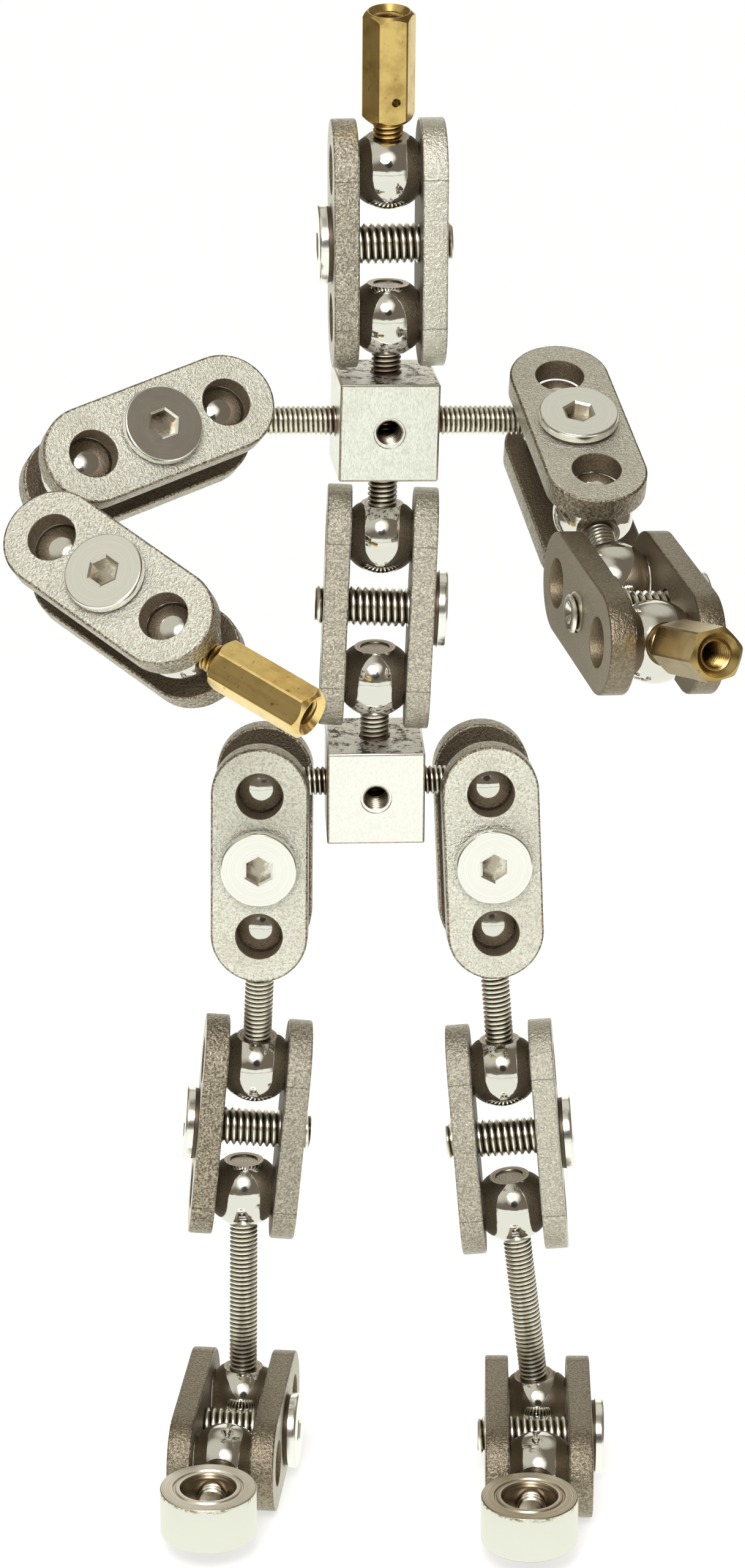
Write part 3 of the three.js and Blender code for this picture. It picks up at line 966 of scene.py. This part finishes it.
@dataclass
class Link(Part):
    """A sandwich link: two plates on two balls, drawn together by a clamp screw.

    Its edge lights say how much painted light pales the plates' edges, first that of the plate towards the
    figure's right.
    """

    name: str = ""
    first_ball: Vector = field(default_factory=Vector)
    spacing: float = 15.0
    width: float = 10.0
    thickness: float = 2.5
    edge_round: float = 0.22
    edge_steps: int = 4
    seat_radius: float = 2.7
    seat_depth: float = 0.35
    hole_radius: float = 2.38
    hole_round: float = 0.1
    round_middle: Point = (0.35, 0.3)
    inner: float = 3.112
    clear_radius: float = 2.15
    tapped_radius: float = 1.9
    sides: int = 72
    hole_sides: int = 48
    head_radius: float = 3.95
    head_height: float = 1.3
    head_round: Point = (0.2, 0.36)
    head_steps: int = 6
    head_gap: float = 0.05
    head_under: Point = (3.72, 0.42)
    under_bevel: Point = (0.04, 0.06)
    thread_inside: float = 0.2
    tip_proud: float = 0.8
    tip_chamfer: float = 0.35
    tip_cone: Point = (1.12, 0.5)
    cone_point: float = 0.12
    cone_sides: int = 32
    socket_flats: float = 2.5
    socket_depth: float = 1.3
    socket_bevel: Point = (0.26, 0.15)
    socket_floor: float = 0.86
    socket_point: float = 0.06
    # How much painted light pales each plate's edges
    edge_lights: tuple[float, float] = (0.0, 0.0)
    # How much painted shade darkens this link's plates
    painted_shade: float = 0.0

    def __post_init__(self) -> None:
        """Reads the link's place: from its plates' boxes and its first ball."""
        clear = LAYOUT.middle(f"{self.name}_clear_plate")
        tapped = LAYOUT.middle(f"{self.name}_tapped_plate")
        self.middle = (clear + tapped) / 2
        self.across = (clear - tapped).normalized()
        self.along = (self.middle - self.first_ball).normalized()

    def plate(self, kind: Plate) -> None:
        """Makes one plate. Its length is along Y and its outer face looks along Z."""
        work = Workpiece(PLATE_FACE, PLATE_EDGE, SHADED_PLATE_INNER, SHADED_HOLE_WALL)
        half, e, top = self.spacing / 2, self.edge_round, self.thickness
        curve = [(e - e * math.sin(a), e - e * math.cos(a)) for a in quarter(self.edge_steps)]
        rows = curve + [(inset, top - z) for inset, z in reversed(curve)]
        outline = [work.loop(self.width / 2 - inset, z, self.sides, half) for inset, z in rows]
        work.skin(outline, PLATE_EDGE)
        inner_rims, outer_rims = [outline[0]], [outline[-1]]
        r, (out, down) = self.hole_round, self.round_middle
        for centre in (-half, 0.0, half):
            if centre:
                radius = self.hole_radius
                start = [(self.seat_radius, 0.0), (radius, self.seat_depth)]
            else:
                radius = self.clear_radius if kind is Plate.CLEAR else self.tapped_radius
                start = [(radius + r, 0.0), (radius, r)]
            stations = start + [(radius, top - r), (radius + out * r, top - down * r), (radius + r, top)]
            loops = [work.loop(at_radius, z, self.hole_sides) for at_radius, z in stations]
            shift = Matrix.Translation((0.0, centre, 0.0))
            for loop in loops:
                work.move(loop, shift)
            # The hole's walls get painted shade
            work.skin(loops, SHADED_HOLE_WALL)
            inner_rims.append(loops[0])
            outer_rims.append(loops[-1])
        # The inner face gets painted shade
        work.fill(inner_rims, SHADED_PLATE_INNER)
        work.fill(outer_rims)
        normal = self.across if kind is Plate.CLEAR else -self.across
        place = LAYOUT.basis(self.middle + normal * self.inner, normal, self.along.cross(normal))
        traits = {"edge_light": self.edge_lights[0 if normal.x < 0 else 1], "painted_shade": self.painted_shade}
        self.hand_over(work, f"{self.name}_{kind.value}", place, self.name, Slot.PLATES, traits=traits)

    def shank(self, work: Workpiece, length: float) -> None:
        """Cuts the screw's thread down from its head, with a hollow cone in its tip."""
        lower, tip = work.thread(M4, -self.thread_inside, length, THREAD_STEEL, self.tip_chamfer)
        work.fill([lower], THREAD_STEEL)
        radius, depth = self.tip_cone
        mouth = work.loop(radius, length, self.cone_sides)
        point = work.loop(self.cone_point, length - depth, self.cone_sides)
        work.fill([tip, mouth], THREAD_STEEL)
        work.skin([mouth, point])
        work.fill([point])
        work.move(work.bm.verts[:], Matrix.Rotation(math.pi, 4, "X"))

    def head(self, work: Workpiece) -> list[BMVert]:
        """Turns the screw's head, and returns the rim of its flat top."""
        top, radius, (wide, high) = self.head_height, self.head_radius, self.head_round
        turns = quarter(self.head_steps)
        corner = [(radius - wide + wide * math.cos(a), top - high + high * math.sin(a)) for a in turns]
        (under, brim), (out, down) = self.head_under, self.under_bevel
        profile = [(0.0, 0.0), (under, 0.0), (under + out, brim - down), (radius, brim)] + corner
        before = set(work.bm.verts)
        faces = work.lathe(profile, self.sides)
        # Painted shade on the underside of the head
        work.dress([face for face in faces if face.calc_center_median().z < brim - NEAR], SHADED_HEAD_UNDER)
        return [vert for vert in work.newer(before) if abs(vert.co.z - top) < NEAR]

    def socket(self, work: Workpiece, rim: list[BMVert]) -> None:
        """Sinks the hexagon socket inside the rim of the head's flat top."""
        top, mouth = self.head_height, self.socket_flats / math.sqrt(3)
        bottom, (wide, deep) = top - self.socket_depth, self.socket_bevel
        stations = [(mouth + wide, top), (mouth, top - deep), (mouth, bottom)]
        loops = [work.loop(radius, z, 6) for radius, z in stations]
        walls = work.skin(loops)
        for face in walls:
            face.smooth = False
        # Painted shade on the socket's walls below its bevel
        work.dress([face for face in walls if face.calc_center_median().z < top - deep], SHADED_SOCKET_WALL)
        floor = work.loop(mouth * self.socket_floor, bottom, 6)
        work.skin([loops[-1], floor])
        point = work.bm.verts.new((0.0, 0.0, bottom - self.socket_point))
        for edge in work.edges_of(floor):
            work.bm.faces.new((*edge.verts, point))
        work.fill([rim, loops[0]])

    def screw(self) -> None:
        """Makes the clamp screw. Its head looks along Z, and the underside of its head is at 0."""
        work = Workpiece(HEAD_STEEL, THREAD_STEEL, SHADED_HEAD_UNDER, SHADED_SOCKET_WALL)
        reach = self.inner + self.thickness
        self.shank(work, 2 * reach + self.head_gap + self.tip_proud)
        self.socket(work, self.head(work))
        seat = self.middle + self.across * (reach + self.head_gap)
        place = LAYOUT.basis(seat, self.across, self.along)
        self.hand_over(work, f"{self.name}_clamp_screw", place, self.name, Slot.SCREWS)

    def build(self) -> None:
        """Makes the link's three pieces."""
        self.plate(Plate.CLEAR)
        self.plate(Plate.TAPPED)
        self.screw()


@dataclass
class Block(Part):
    """A block that is drilled and tapped through its middle along all three axes."""

    name: str = ""
    up_at: Vector = field(default_factory=Vector)
    right_at: Vector = field(default_factory=Vector)
    left_at: Vector = field(default_factory=Vector)
    size: float = 10.0
    edge: float = 0.22
    edge_steps: int = 3
    # Rounded edges that face less far up than this get painted shade
    unshaded_above: float = 0.3
    mouth: float = 1.62
    mouth_depth: float = 0.14
    pocket: float = 3.05
    clearance: float = 0.04
    sides: int = 44
    steel: MilledSteel = BLOCK_STEEL
    bottom: Hole = Hole.OPEN

    def hole(self, work: Workpiece, turn: Matrix, kind: Hole) -> list[BMVert]:
        """Drills a hole from the face that looks along the turned Z, and taps it.

        Args:
            work: The block.
            turn: From that face to the block.
            kind: The kind of hole.

        Returns:
            The points of its mouth on that face, and on the far face where it is through.
        """
        half = self.size / 2
        before = set(work.bm.verts)
        mouths = [work.loop(self.mouth, half, self.sides)]
        if kind is Hole.FILLED:
            depths = (self.mouth_depth, self.pocket)
            walls = [work.loop(M3.major + self.clearance, half - depth, self.sides) for depth in depths]
            work.skin([mouths[0], *walls])
            work.fill([walls[-1]], THREAD_STEEL)
        else:
            through = kind is Hole.THROUGH
            low = -half + self.mouth_depth if through else half - self.pocket
            rims = work.thread(M3, low, half - self.mouth_depth, THREAD_STEEL)
            ends = [(mouths[0], rims[1], half - self.mouth_depth)]
            if through:
                mouths.append(work.loop(self.mouth, -half, self.sides))
                ends.append((mouths[1], rims[0], low))
            else:
                work.fill([rims[0]], THREAD_STEEL)
            for mouth, rim, z in ends:
                ledge = work.loop(M3.major + self.clearance, z, self.sides)
                work.skin([mouth, ledge])
                work.fill([ledge, rim])
        work.move(work.newer(before), turn)
        return mouths

    def build(self) -> None:
        """Makes the block."""
        work = Workpiece(self.steel, THREAD_STEEL, BLOCK_END, SHADED_BLOCK_EDGE)
        bm = work.bm
        bmesh.ops.create_cube(bm, size=self.size)
        bmesh.ops.bevel(
            bm, geom=bm.edges[:], offset=self.edge, segments=self.edge_steps, profile=0.5,
            affect="EDGES", material=-1,
        )
        broad = [face for face in bm.faces if face.calc_area() > self.size**2 / 2]
        rounds = [face for face in bm.faces if face not in broad]
        work.dress(rounds, rounded=True)
        # Painted shade on the rounded edges that face less far up
        work.dress([face for face in rounds if face.normal.z < self.unshaded_above], SHADED_BLOCK_EDGE)
        rims = {tuple(round(c) for c in face.normal): list(face.verts) for face in broad}
        bmesh.ops.delete(bm, geom=broad, context="FACES_ONLY")
        turns = {
            (0, -1, 0): (Matrix.Rotation(math.pi / 2, 4, "X"), Hole.THROUGH),
            (1, 0, 0): (Matrix.Rotation(math.pi / 2, 4, "Y"), Hole.FILLED),
            (-1, 0, 0): (Matrix.Rotation(-math.pi / 2, 4, "Y"), Hole.FILLED),
            (0, 0, 1): (Matrix.Identity(4), Hole.FILLED),
            (0, 0, -1): (Matrix.Rotation(math.pi, 4, "X"), self.bottom),
        }
        for normal, (turn, kind) in turns.items():
            mouths = self.hole(work, turn, kind)
            work.fill([rims[normal], mouths[0]], BLOCK_END if normal[2] else self.steel)
            if kind is Hole.THROUGH:
                opposite = tuple(-c for c in normal)
                work.fill([rims[opposite], mouths[1]])
        centre = LAYOUT.middle(f"{self.name}_block")
        place = LAYOUT.basis(centre, self.up_at - centre, self.left_at - self.right_at)
        self.hand_over(work, f"{self.name}_block", place, self.name, Slot.BLOCKS)


@dataclass
class Standoff(BallStock):
    """A brass hexagon screwed into a drilled ball. Z runs from the ball out along the hexagon."""

    name: str = ""
    ball_at: Vector = field(default_factory=Vector)
    origin: Vector = field(default_factory=Vector)
    across: Vector = field(default_factory=Vector)
    spin: float = 0.0
    brass: Brass = LIT_BRASS
    flats: float = 4.68
    length: float = 11.1
    male: float = 4.6
    corner: float = 2.64
    end_radius: float = 2.1
    chamfer_slope: float = 1.0
    least_chamfer: float = 0.02
    depth: float = 7.5
    mouth: float = 2.02
    mouth_depth: float = 0.55
    ledge_gap: float = 0.01
    male_inside: float = 0.2
    per_flat: int = 12

    def ball(self) -> None:
        """Makes the drilled ball."""
        work = Workpiece(BALL_STEEL, THREAD_STEEL, SHADED_FLAT_STEEL)
        self.turn_ball(work, 0.0, True, False)
        place = LAYOUT.basis(self.ball_at, self.origin - self.ball_at, self.across)
        self.hand_over(work, f"{self.name}_ball", place, f"{self.name}_ball", Slot.BALLS)

    def hexagon(self, work: Workpiece) -> tuple[list[BMVert], list[BMVert]]:
        """Draws the hexagon with its turned ends, and returns its lower and upper end circles."""
        sides = 6 * self.per_flat
        loops = []
        for sign, end in ((-1, 0.0), (1, self.length)):
            circle = work.loop(self.end_radius, end, sides)
            wall = work.loop(1.0, end, sides)  # only its angles are kept
            for vert in wall:
                angle = math.atan2(vert.co.y, vert.co.x)
                from_flat = (angle + math.pi / 6) % (math.pi / 3) - math.pi / 6
                radius = min(self.flats / 2 / math.cos(from_flat), self.corner)
                drop = max(radius - self.end_radius, self.least_chamfer) * self.chamfer_slope
                vert.co = (radius * math.cos(angle), radius * math.sin(angle), end - sign * drop)
            loops += [circle, wall] if sign < 0 else [wall, circle]
        work.skin(loops)
        return loops[0], loops[-1]

    def standoff(self) -> None:
        """Makes the brass standoff, with its male end below and its tapped bore above."""
        work = Workpiece(self.brass, BRASS_THREAD)
        lower, upper = self.hexagon(work)
        top, sides = self.length - self.mouth_depth, 6 * self.per_flat
        bottom, rim = work.thread(M3, self.length - self.depth, top, BRASS_THREAD)
        work.fill([bottom], BRASS_THREAD)
        mouth = work.loop(self.mouth, self.length, sides)
        ledge = work.loop(M3.major + self.ledge_gap, top, sides)
        work.fill([upper, mouth])
        work.skin([mouth, ledge])
        work.fill([ledge, rim], BRASS_THREAD)
        work.fill([lower])
        work.bolt(M3, -self.male, self.male_inside, BRASS_THREAD)
        place = LAYOUT.basis(self.origin, self.origin - self.ball_at, self.across)
        place = place @ Matrix.Rotation(math.radians(self.spin), 4, "Z")
        node = f"{self.name}_standoff"
        self.hand_over(work, node, place, node, Slot.BRASS, sharp=22.0)

    def build(self) -> None:
        """Makes the ball and the standoff."""
        self.ball()
        self.standoff()


@dataclass
class FootRing(Part):
    """A turned tie-down ring, screwed sideways onto the toe's stud."""

    side: Side = Side.RIGHT
    radius: float = 5.0
    height: float = 5.0
    corner: float = 0.14
    corner_steps: int = 4
    groove: tuple[float, ...] = (3.72, 3.58, 3.46, 3.34)
    groove_depth: float = 0.16
    bore: float = 2.65
    mouth: float = 2.95
    mouth_depth: float = 0.42
    # How high the painted contact shadow reaches up from the ring's bottom
    contact_shade_height: float = 0.03
    sides: int = 96
    # The copy of painted light that the ring's end faces get
    top: TurnedSteel = SHADED_RING_TOP

    def profile(self) -> list[Point]:
        """The ring's section: up the outside, in over the top with its groove, and down the bore."""
        half, corner = self.height / 2, self.corner
        drops = (0.0, self.groove_depth, self.groove_depth, 0.0)
        upper = (
            arc((self.radius - corner, half - corner), corner, 0.0, 90.0, self.corner_steps)
            + [(radius, half - drop) for radius, drop in zip(self.groove, drops)]
            + [(self.mouth, half), (self.bore, half - self.mouth_depth)]
        )
        return upper + [(radius, -z) for radius, z in reversed(upper)]

    def build(self) -> None:
        """Makes the ring."""
        side = self.side.value
        work = Workpiece(RING_STEEL, self.top, SHADED_RING_BORE)
        for face in work.lathe(self.profile(), self.sides, closed=True):
            reach = max(math.hypot(*vert.co.xy) for vert in face.verts)
            # The bore gets painted shade and the bottom band a painted contact shadow
            below = face.calc_center_median().z < self.contact_shade_height - self.height / 2
            if reach < self.mouth + NEAR or below:
                work.dress([face], SHADED_RING_BORE)
            elif reach < self.radius - NEAR:
                work.dress([face], self.top)
        centre = LAYOUT.joint(f"{side}_ring_turn")
        place = LAYOUT.basis(centre, Vector((0, 0, 1)), LAYOUT.joint(f"{side}_toe_bend") - centre)
        self.hand_over(work, f"{side}_foot_ring", place, f"{side}_ring", Slot.RINGS, sharp=24.0)


# The figure


@dataclass
class Armature:
    """The whole figure, from the pelvis up and down."""

    parts: list[Part] = field(default_factory=list)

    def torso(self) -> None:
        """Adds the pelvis, waist, chest, neck and head."""
        joint = LAYOUT.joint
        pelvis, chest = LAYOUT.middle("pelvis_block"), LAYOUT.middle("chest_block")
        waist = joint("waist_turn")
        self.parts += [
            Block(
                name="pelvis", up_at=waist, right_at=joint("right_hip_turn"), left_at=joint("left_hip_turn"),
            ),
            OneBallStud(
                node="waist_ball_stud", body="waist_stud", ball_at=waist, foot_at=pelvis, length=12.9,
            ),
            Link(name="waist", first_ball=waist, edge_lights=(0.22, 0.28)),
            TwoBallRod(
                node="spine_rod", body="spine", first=joint("spine_bend"), second=joint("neck_bend"),
                block_at=(chest - joint("spine_bend")).length,
            ),
            Block(
                name="chest", up_at=joint("neck_bend"),
                right_at=joint("right_shoulder_turn"), left_at=joint("left_shoulder_turn"),
                steel=CHEST_STEEL, bottom=Hole.FILLED,
            ),
        ]
        neck = Link(name="neck", first_ball=joint("neck_bend"), edge_lights=(0.15, 0.6))
        head = Standoff(
            name="head", ball_at=joint("head_nod"), origin=joint("head_turn"), across=neck.across, spin=38.0,
            brass=DIMPLED_BRASS,
        )
        self.parts += [neck, head]
        for side in Side:
            self.arm(side.value, chest)
            self.leg(side.value, pelvis)

    def arm(self, side: str, chest: Vector) -> None:
        """Adds an arm, from the chest block out."""
        joint, right = LAYOUT.joint, side == Side.RIGHT.value
        shoulder, elbow = joint(f"{side}_shoulder_turn"), joint(f"{side}_elbow_lower_bend")
        # The left forearm's and upper arm's plates get painted shade
        forearm = Link(name=f"{side}_forearm", first_ball=elbow, painted_shade=0.0 if right else 0.75)
        self.parts += [
            OneBallStud(
                node=f"{side}_shoulder_ball_stud", body=f"{side}_shoulder",
                # The shoulder studs get the lit copy of the thread: painted light
                ball_at=shoulder, foot_at=chest, length=15.4, steel=LIT_THREAD,
            ),
            Link(name=f"{side}_upper_arm", first_ball=shoulder, painted_shade=0.0 if right else 0.25),
            TwoBallRod(
                node=f"{side}_elbow_rod", body=f"{side}_elbow",
                first=joint(f"{side}_elbow_upper_bend"), second=elbow,
            ),
            forearm,
            Standoff(
                name=f"{side}_hand", ball_at=joint(f"{side}_wrist_bend"), origin=joint(f"{side}_hand_turn"),
                across=forearm.across, spin=26.0 if right else -17.0,
                # The right hand's brass is the lit copy, the left's the shaded one: painted light
                brass=LIT_BRASS if right else SHADED_BRASS,
            ),
        ]

    def leg(self, side: str, pelvis: Vector) -> None:
        """Adds a leg, from the pelvis block down."""
        joint, right = LAYOUT.joint, side == Side.RIGHT.value
        hip, knee = joint(f"{side}_hip_turn"), joint(f"{side}_knee_upper_bend")
        ankle, toe = joint(f"{side}_ankle_bend"), joint(f"{side}_toe_bend")
        self.parts += [
            OneBallStud(
                node=f"{side}_hip_ball_stud", body=f"{side}_hip", ball_at=hip, foot_at=pelvis, length=9.5
            ),
            Link(name=f"{side}_thigh", first_ball=hip),
            TwoBallRod(
                node=f"{side}_thigh_rod", body=f"{side}_thigh_rod",
                first=joint(f"{side}_thigh_lower_bend"), second=knee,
            ),
            Link(name=f"{side}_knee", first_ball=knee, edge_lights=(0.0, 0.2) if right else (0.25, 0.42)),
            TwoBallRod(
                node=f"{side}_shin_rod", body=f"{side}_shin_rod",
                first=joint(f"{side}_knee_lower_bend"), second=ankle,
            ),
            # The feet's plates get painted shade
            Link(name=f"{side}_foot", first_ball=ankle, painted_shade=0.5),
            OneBallStud(
                node=f"{side}_toe_ball_stud", body=f"{side}_toe",
                ball_at=toe, foot_at=joint(f"{side}_ring_turn"), length=8.85, stain_length=0.0,
            ),
            # The right ring's end faces get the lit copy, the left's the shaded one
            FootRing(side=Side(side), top=LIT_RING_TOP if right else SHADED_RING_TOP),
        ]

    def build(self) -> None:
        """Makes every piece in order."""
        self.torso()
        for part in self.parts:
            part.build()
        faces = sum(len(piece.data.polygons) for part in self.parts for piece in part.made)
        LOG.info("%d pieces, %d faces", sum(len(part.made) for part in self.parts), faces)


# The studio


@dataclass(frozen=True)
class Glow:
    """A patch of the surroundings that is brighter or darker than the room.

    It is at its full colour within the inner angle and gone past the outer one, both in degrees.
    """

    towards: Triple
    inner: float
    outer: float
    colour: Triple


@dataclass
class Studio:
    """The camera, the pale floor, the lamp and what surrounds the figure.

    Its places are in millimetres and its angles in degrees. The camera's clip distances are in metres.
    """

    focal_px: float = 7482.1
    frame_px: tuple[int, int] = (1217, 2560)
    height: float = 237.5
    distance: float = 444.5
    pitch: float = 20.055
    roll: float = -0.23
    sensor: float = 36.0
    clip: Point = (0.01, 20.0)
    pelvis_at: Vector = field(default_factory=lambda: Vector((0.17, 0.0, 75.65)))
    floor_radius: float = 300.0
    floor_sides: int = 96
    floor_paint: Triple = (0.5, 0.5, 0.495)
    floor_light: Triple = (1.0, 1.0, 0.985)
    floor_glow: float = 0.58
    floor_mirrored_light: Triple = (1.0, 1.01, 0.93)
    floor_mirrored: float = 1.08
    lamp_at: Triple = (-50.0, -400.0, 480.0)
    lamp_aim: Triple = (0.0, 20.0, 80.0)
    lamp_size: float = 240.0
    lamp_power: float = 1.8
    room: Triple = (0.20, 0.17, 0.132)
    sweep: Triple = (1.12, 1.135, 1.03)
    sweep_height: Point = (0.10, 0.04)
    sweep_width: Point = (0.84, 0.66)
    seam_below: float = 0.11
    seam_width: Point = (0.035, 0.012)
    seam_strength: float = 0.4
    backdrop: Triple = (1.0, 1.0, 0.995)
    glows: tuple[Glow, ...] = (
        Glow((0.0, -0.72, 0.69), 7.0, 25.0, (1.45, 1.41, 1.25)),
        Glow((0.0, 0.96, 0.28), 8.0, 19.0, (1.15, 1.12, 1.0)),
        Glow((-0.50, -0.29, 0.82), 18.0, 42.0, (0.70, 0.68, 0.58)),
        Glow((0.10, 0.48, 0.87), 14.0, 34.0, (0.66, 0.645, 0.56)),
        Glow((0.05, -0.905, 0.42), 8.0, 13.0, (0.05, 0.045, 0.04)),
    )

    def camera(self) -> None:
        """Puts the camera where the photograph was taken from, as measured with the pelvis at pelvis_at."""
        shift = LAYOUT.middle("pelvis_block") - self.pelvis_at
        place = (Vector((0.0, -self.distance, self.height)) + shift) * MM
        down, roll = math.radians(self.pitch), math.radians(self.roll)
        forward = Vector((0.0, math.cos(down), -math.sin(down)))
        right = Vector((1.0, 0.0, 0.0))
        up = right.cross(forward)
        rolled_right = right * math.cos(roll) + up * math.sin(roll)
        rolled_up = up * math.cos(roll) - right * math.sin(roll)
        data = bpy.data.cameras.new("studio_camera")
        data.sensor_width = self.sensor
        data.lens = self.focal_px / max(self.frame_px) * self.sensor
        data.clip_start, data.clip_end = self.clip
        camera = put_in_scene("studio_camera", data)
        turn = Matrix((rolled_right, rolled_up, -forward)).transposed().to_4x4()
        camera.matrix_world = Matrix.Translation(place) @ turn
        bpy.context.scene.camera = camera

    def floor(self) -> None:
        """Lays a pale round floor that keeps the figure's shadow and is plain white in its reflections."""
        bm = bmesh.new()
        radius = self.floor_radius * MM
        bmesh.ops.create_circle(bm, cap_ends=True, radius=radius, segments=self.floor_sides)
        mesh = bpy.data.meshes.new("studio_floor")
        bm.to_mesh(mesh)
        bm.free()
        material = bpy.data.materials.new("pale_floor")
        material.use_nodes = True
        tree = Shading(material.node_tree)
        shaded = tree.node("BsdfDiffuse", {"Color": rgb(*self.floor_paint)})
        bright = tree.node("Emission", {"Color": rgb(*self.floor_light), "Strength": self.floor_glow})
        seen = tree.node("AddShader", {0: shaded.outputs[0], 1: bright.outputs[0]})
        light = rgb(*self.floor_mirrored_light)
        plain = tree.node("Emission", {"Color": light, "Strength": self.floor_mirrored})
        glossy = tree.node("LightPath").outputs["Is Glossy Ray"]
        shader = tree.node("MixShader", {0: glossy, 1: seen.outputs[0], 2: plain.outputs[0]})
        tree.end("OutputMaterial", shader)
        mesh.materials.append(material)
        put_in_scene("studio_floor", mesh)

    def lamp(self) -> None:
        """Hangs the round lamp above and in front of the figure."""
        data = bpy.data.lights.new("studio_lamp", "AREA")
        data.shape = "DISK"
        data.size = self.lamp_size * MM
        data.energy = self.lamp_power
        lamp = put_in_scene("studio_lamp", data)
        place = Vector(self.lamp_at)
        away = place - Vector(self.lamp_aim)
        lamp.location = place * MM
        lamp.rotation_mode = "QUATERNION"
        lamp.rotation_quaternion = away.to_track_quat("Z", "Y")

    def surroundings(self) -> None:
        """Paints what the metal mirrors: a dim room with its patches, and a pale sweep below with a seam."""
        world = bpy.data.worlds.new("studio_world")
        world.use_nodes = True
        bpy.context.scene.world = world
        tree = Shading(world.node_tree)
        direction = tree.node("TexCoord").outputs["Generated"]
        x, _, z = tree.node("SeparateXYZ", {0: direction}).outputs
        wide = tree.step(tree.math("ABSOLUTE", x), *self.sweep_width)
        sweep = tree.times(tree.step(z, *self.sweep_height), wide)
        seam = tree.step(tree.math("ABSOLUTE", tree.plus(z, self.seam_below)), *self.seam_width)
        colour = rgb(*self.room)
        for glow in self.glows:
            towards = Vector(glow.towards).normalized()
            facing = tree.node("VectorMath", {0: direction, 1: towards}, operation="DOT_PRODUCT")
            rim, core = math.cos(math.radians(glow.outer)), math.cos(math.radians(glow.inner))
            edge = tree.step(facing.outputs["Value"], rim, core)
            colour = tree.blend(edge, colour, rgb(*glow.colour))
        swept = tree.blend(tree.times(seam, self.seam_strength), rgb(*self.sweep), rgb(*self.room))
        colour = tree.blend(sweep, colour, swept)
        paths = tree.node("LightPath")
        plain = tree.node("Background", {"Color": rgb(*self.backdrop), "Strength": 1.0})
        mirrored = tree.node("Background", {"Color": colour, "Strength": 1.0})
        seen = tree.math("MAXIMUM", paths.outputs["Is Camera Ray"], paths.outputs["Is Diffuse Ray"])
        mixed = tree.node("MixShader", {0: seen, 1: mirrored.outputs[0], 2: plain.outputs[0]})
        tree.end("OutputWorld", mixed)

    def build(self) -> None:
        """Sets up the studio."""
        bpy.context.scene.view_settings.view_transform = "Standard"
        self.camera()
        self.floor()
        self.lamp()
        self.surroundings()


def main() -> None:
    """Builds the studio and the figure."""
    logging.basicConfig(level=logging.INFO, format="%(name)s: %(message)s")
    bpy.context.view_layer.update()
    Studio().build()
    Armature().build()


if __name__ == "__main__":
    main()
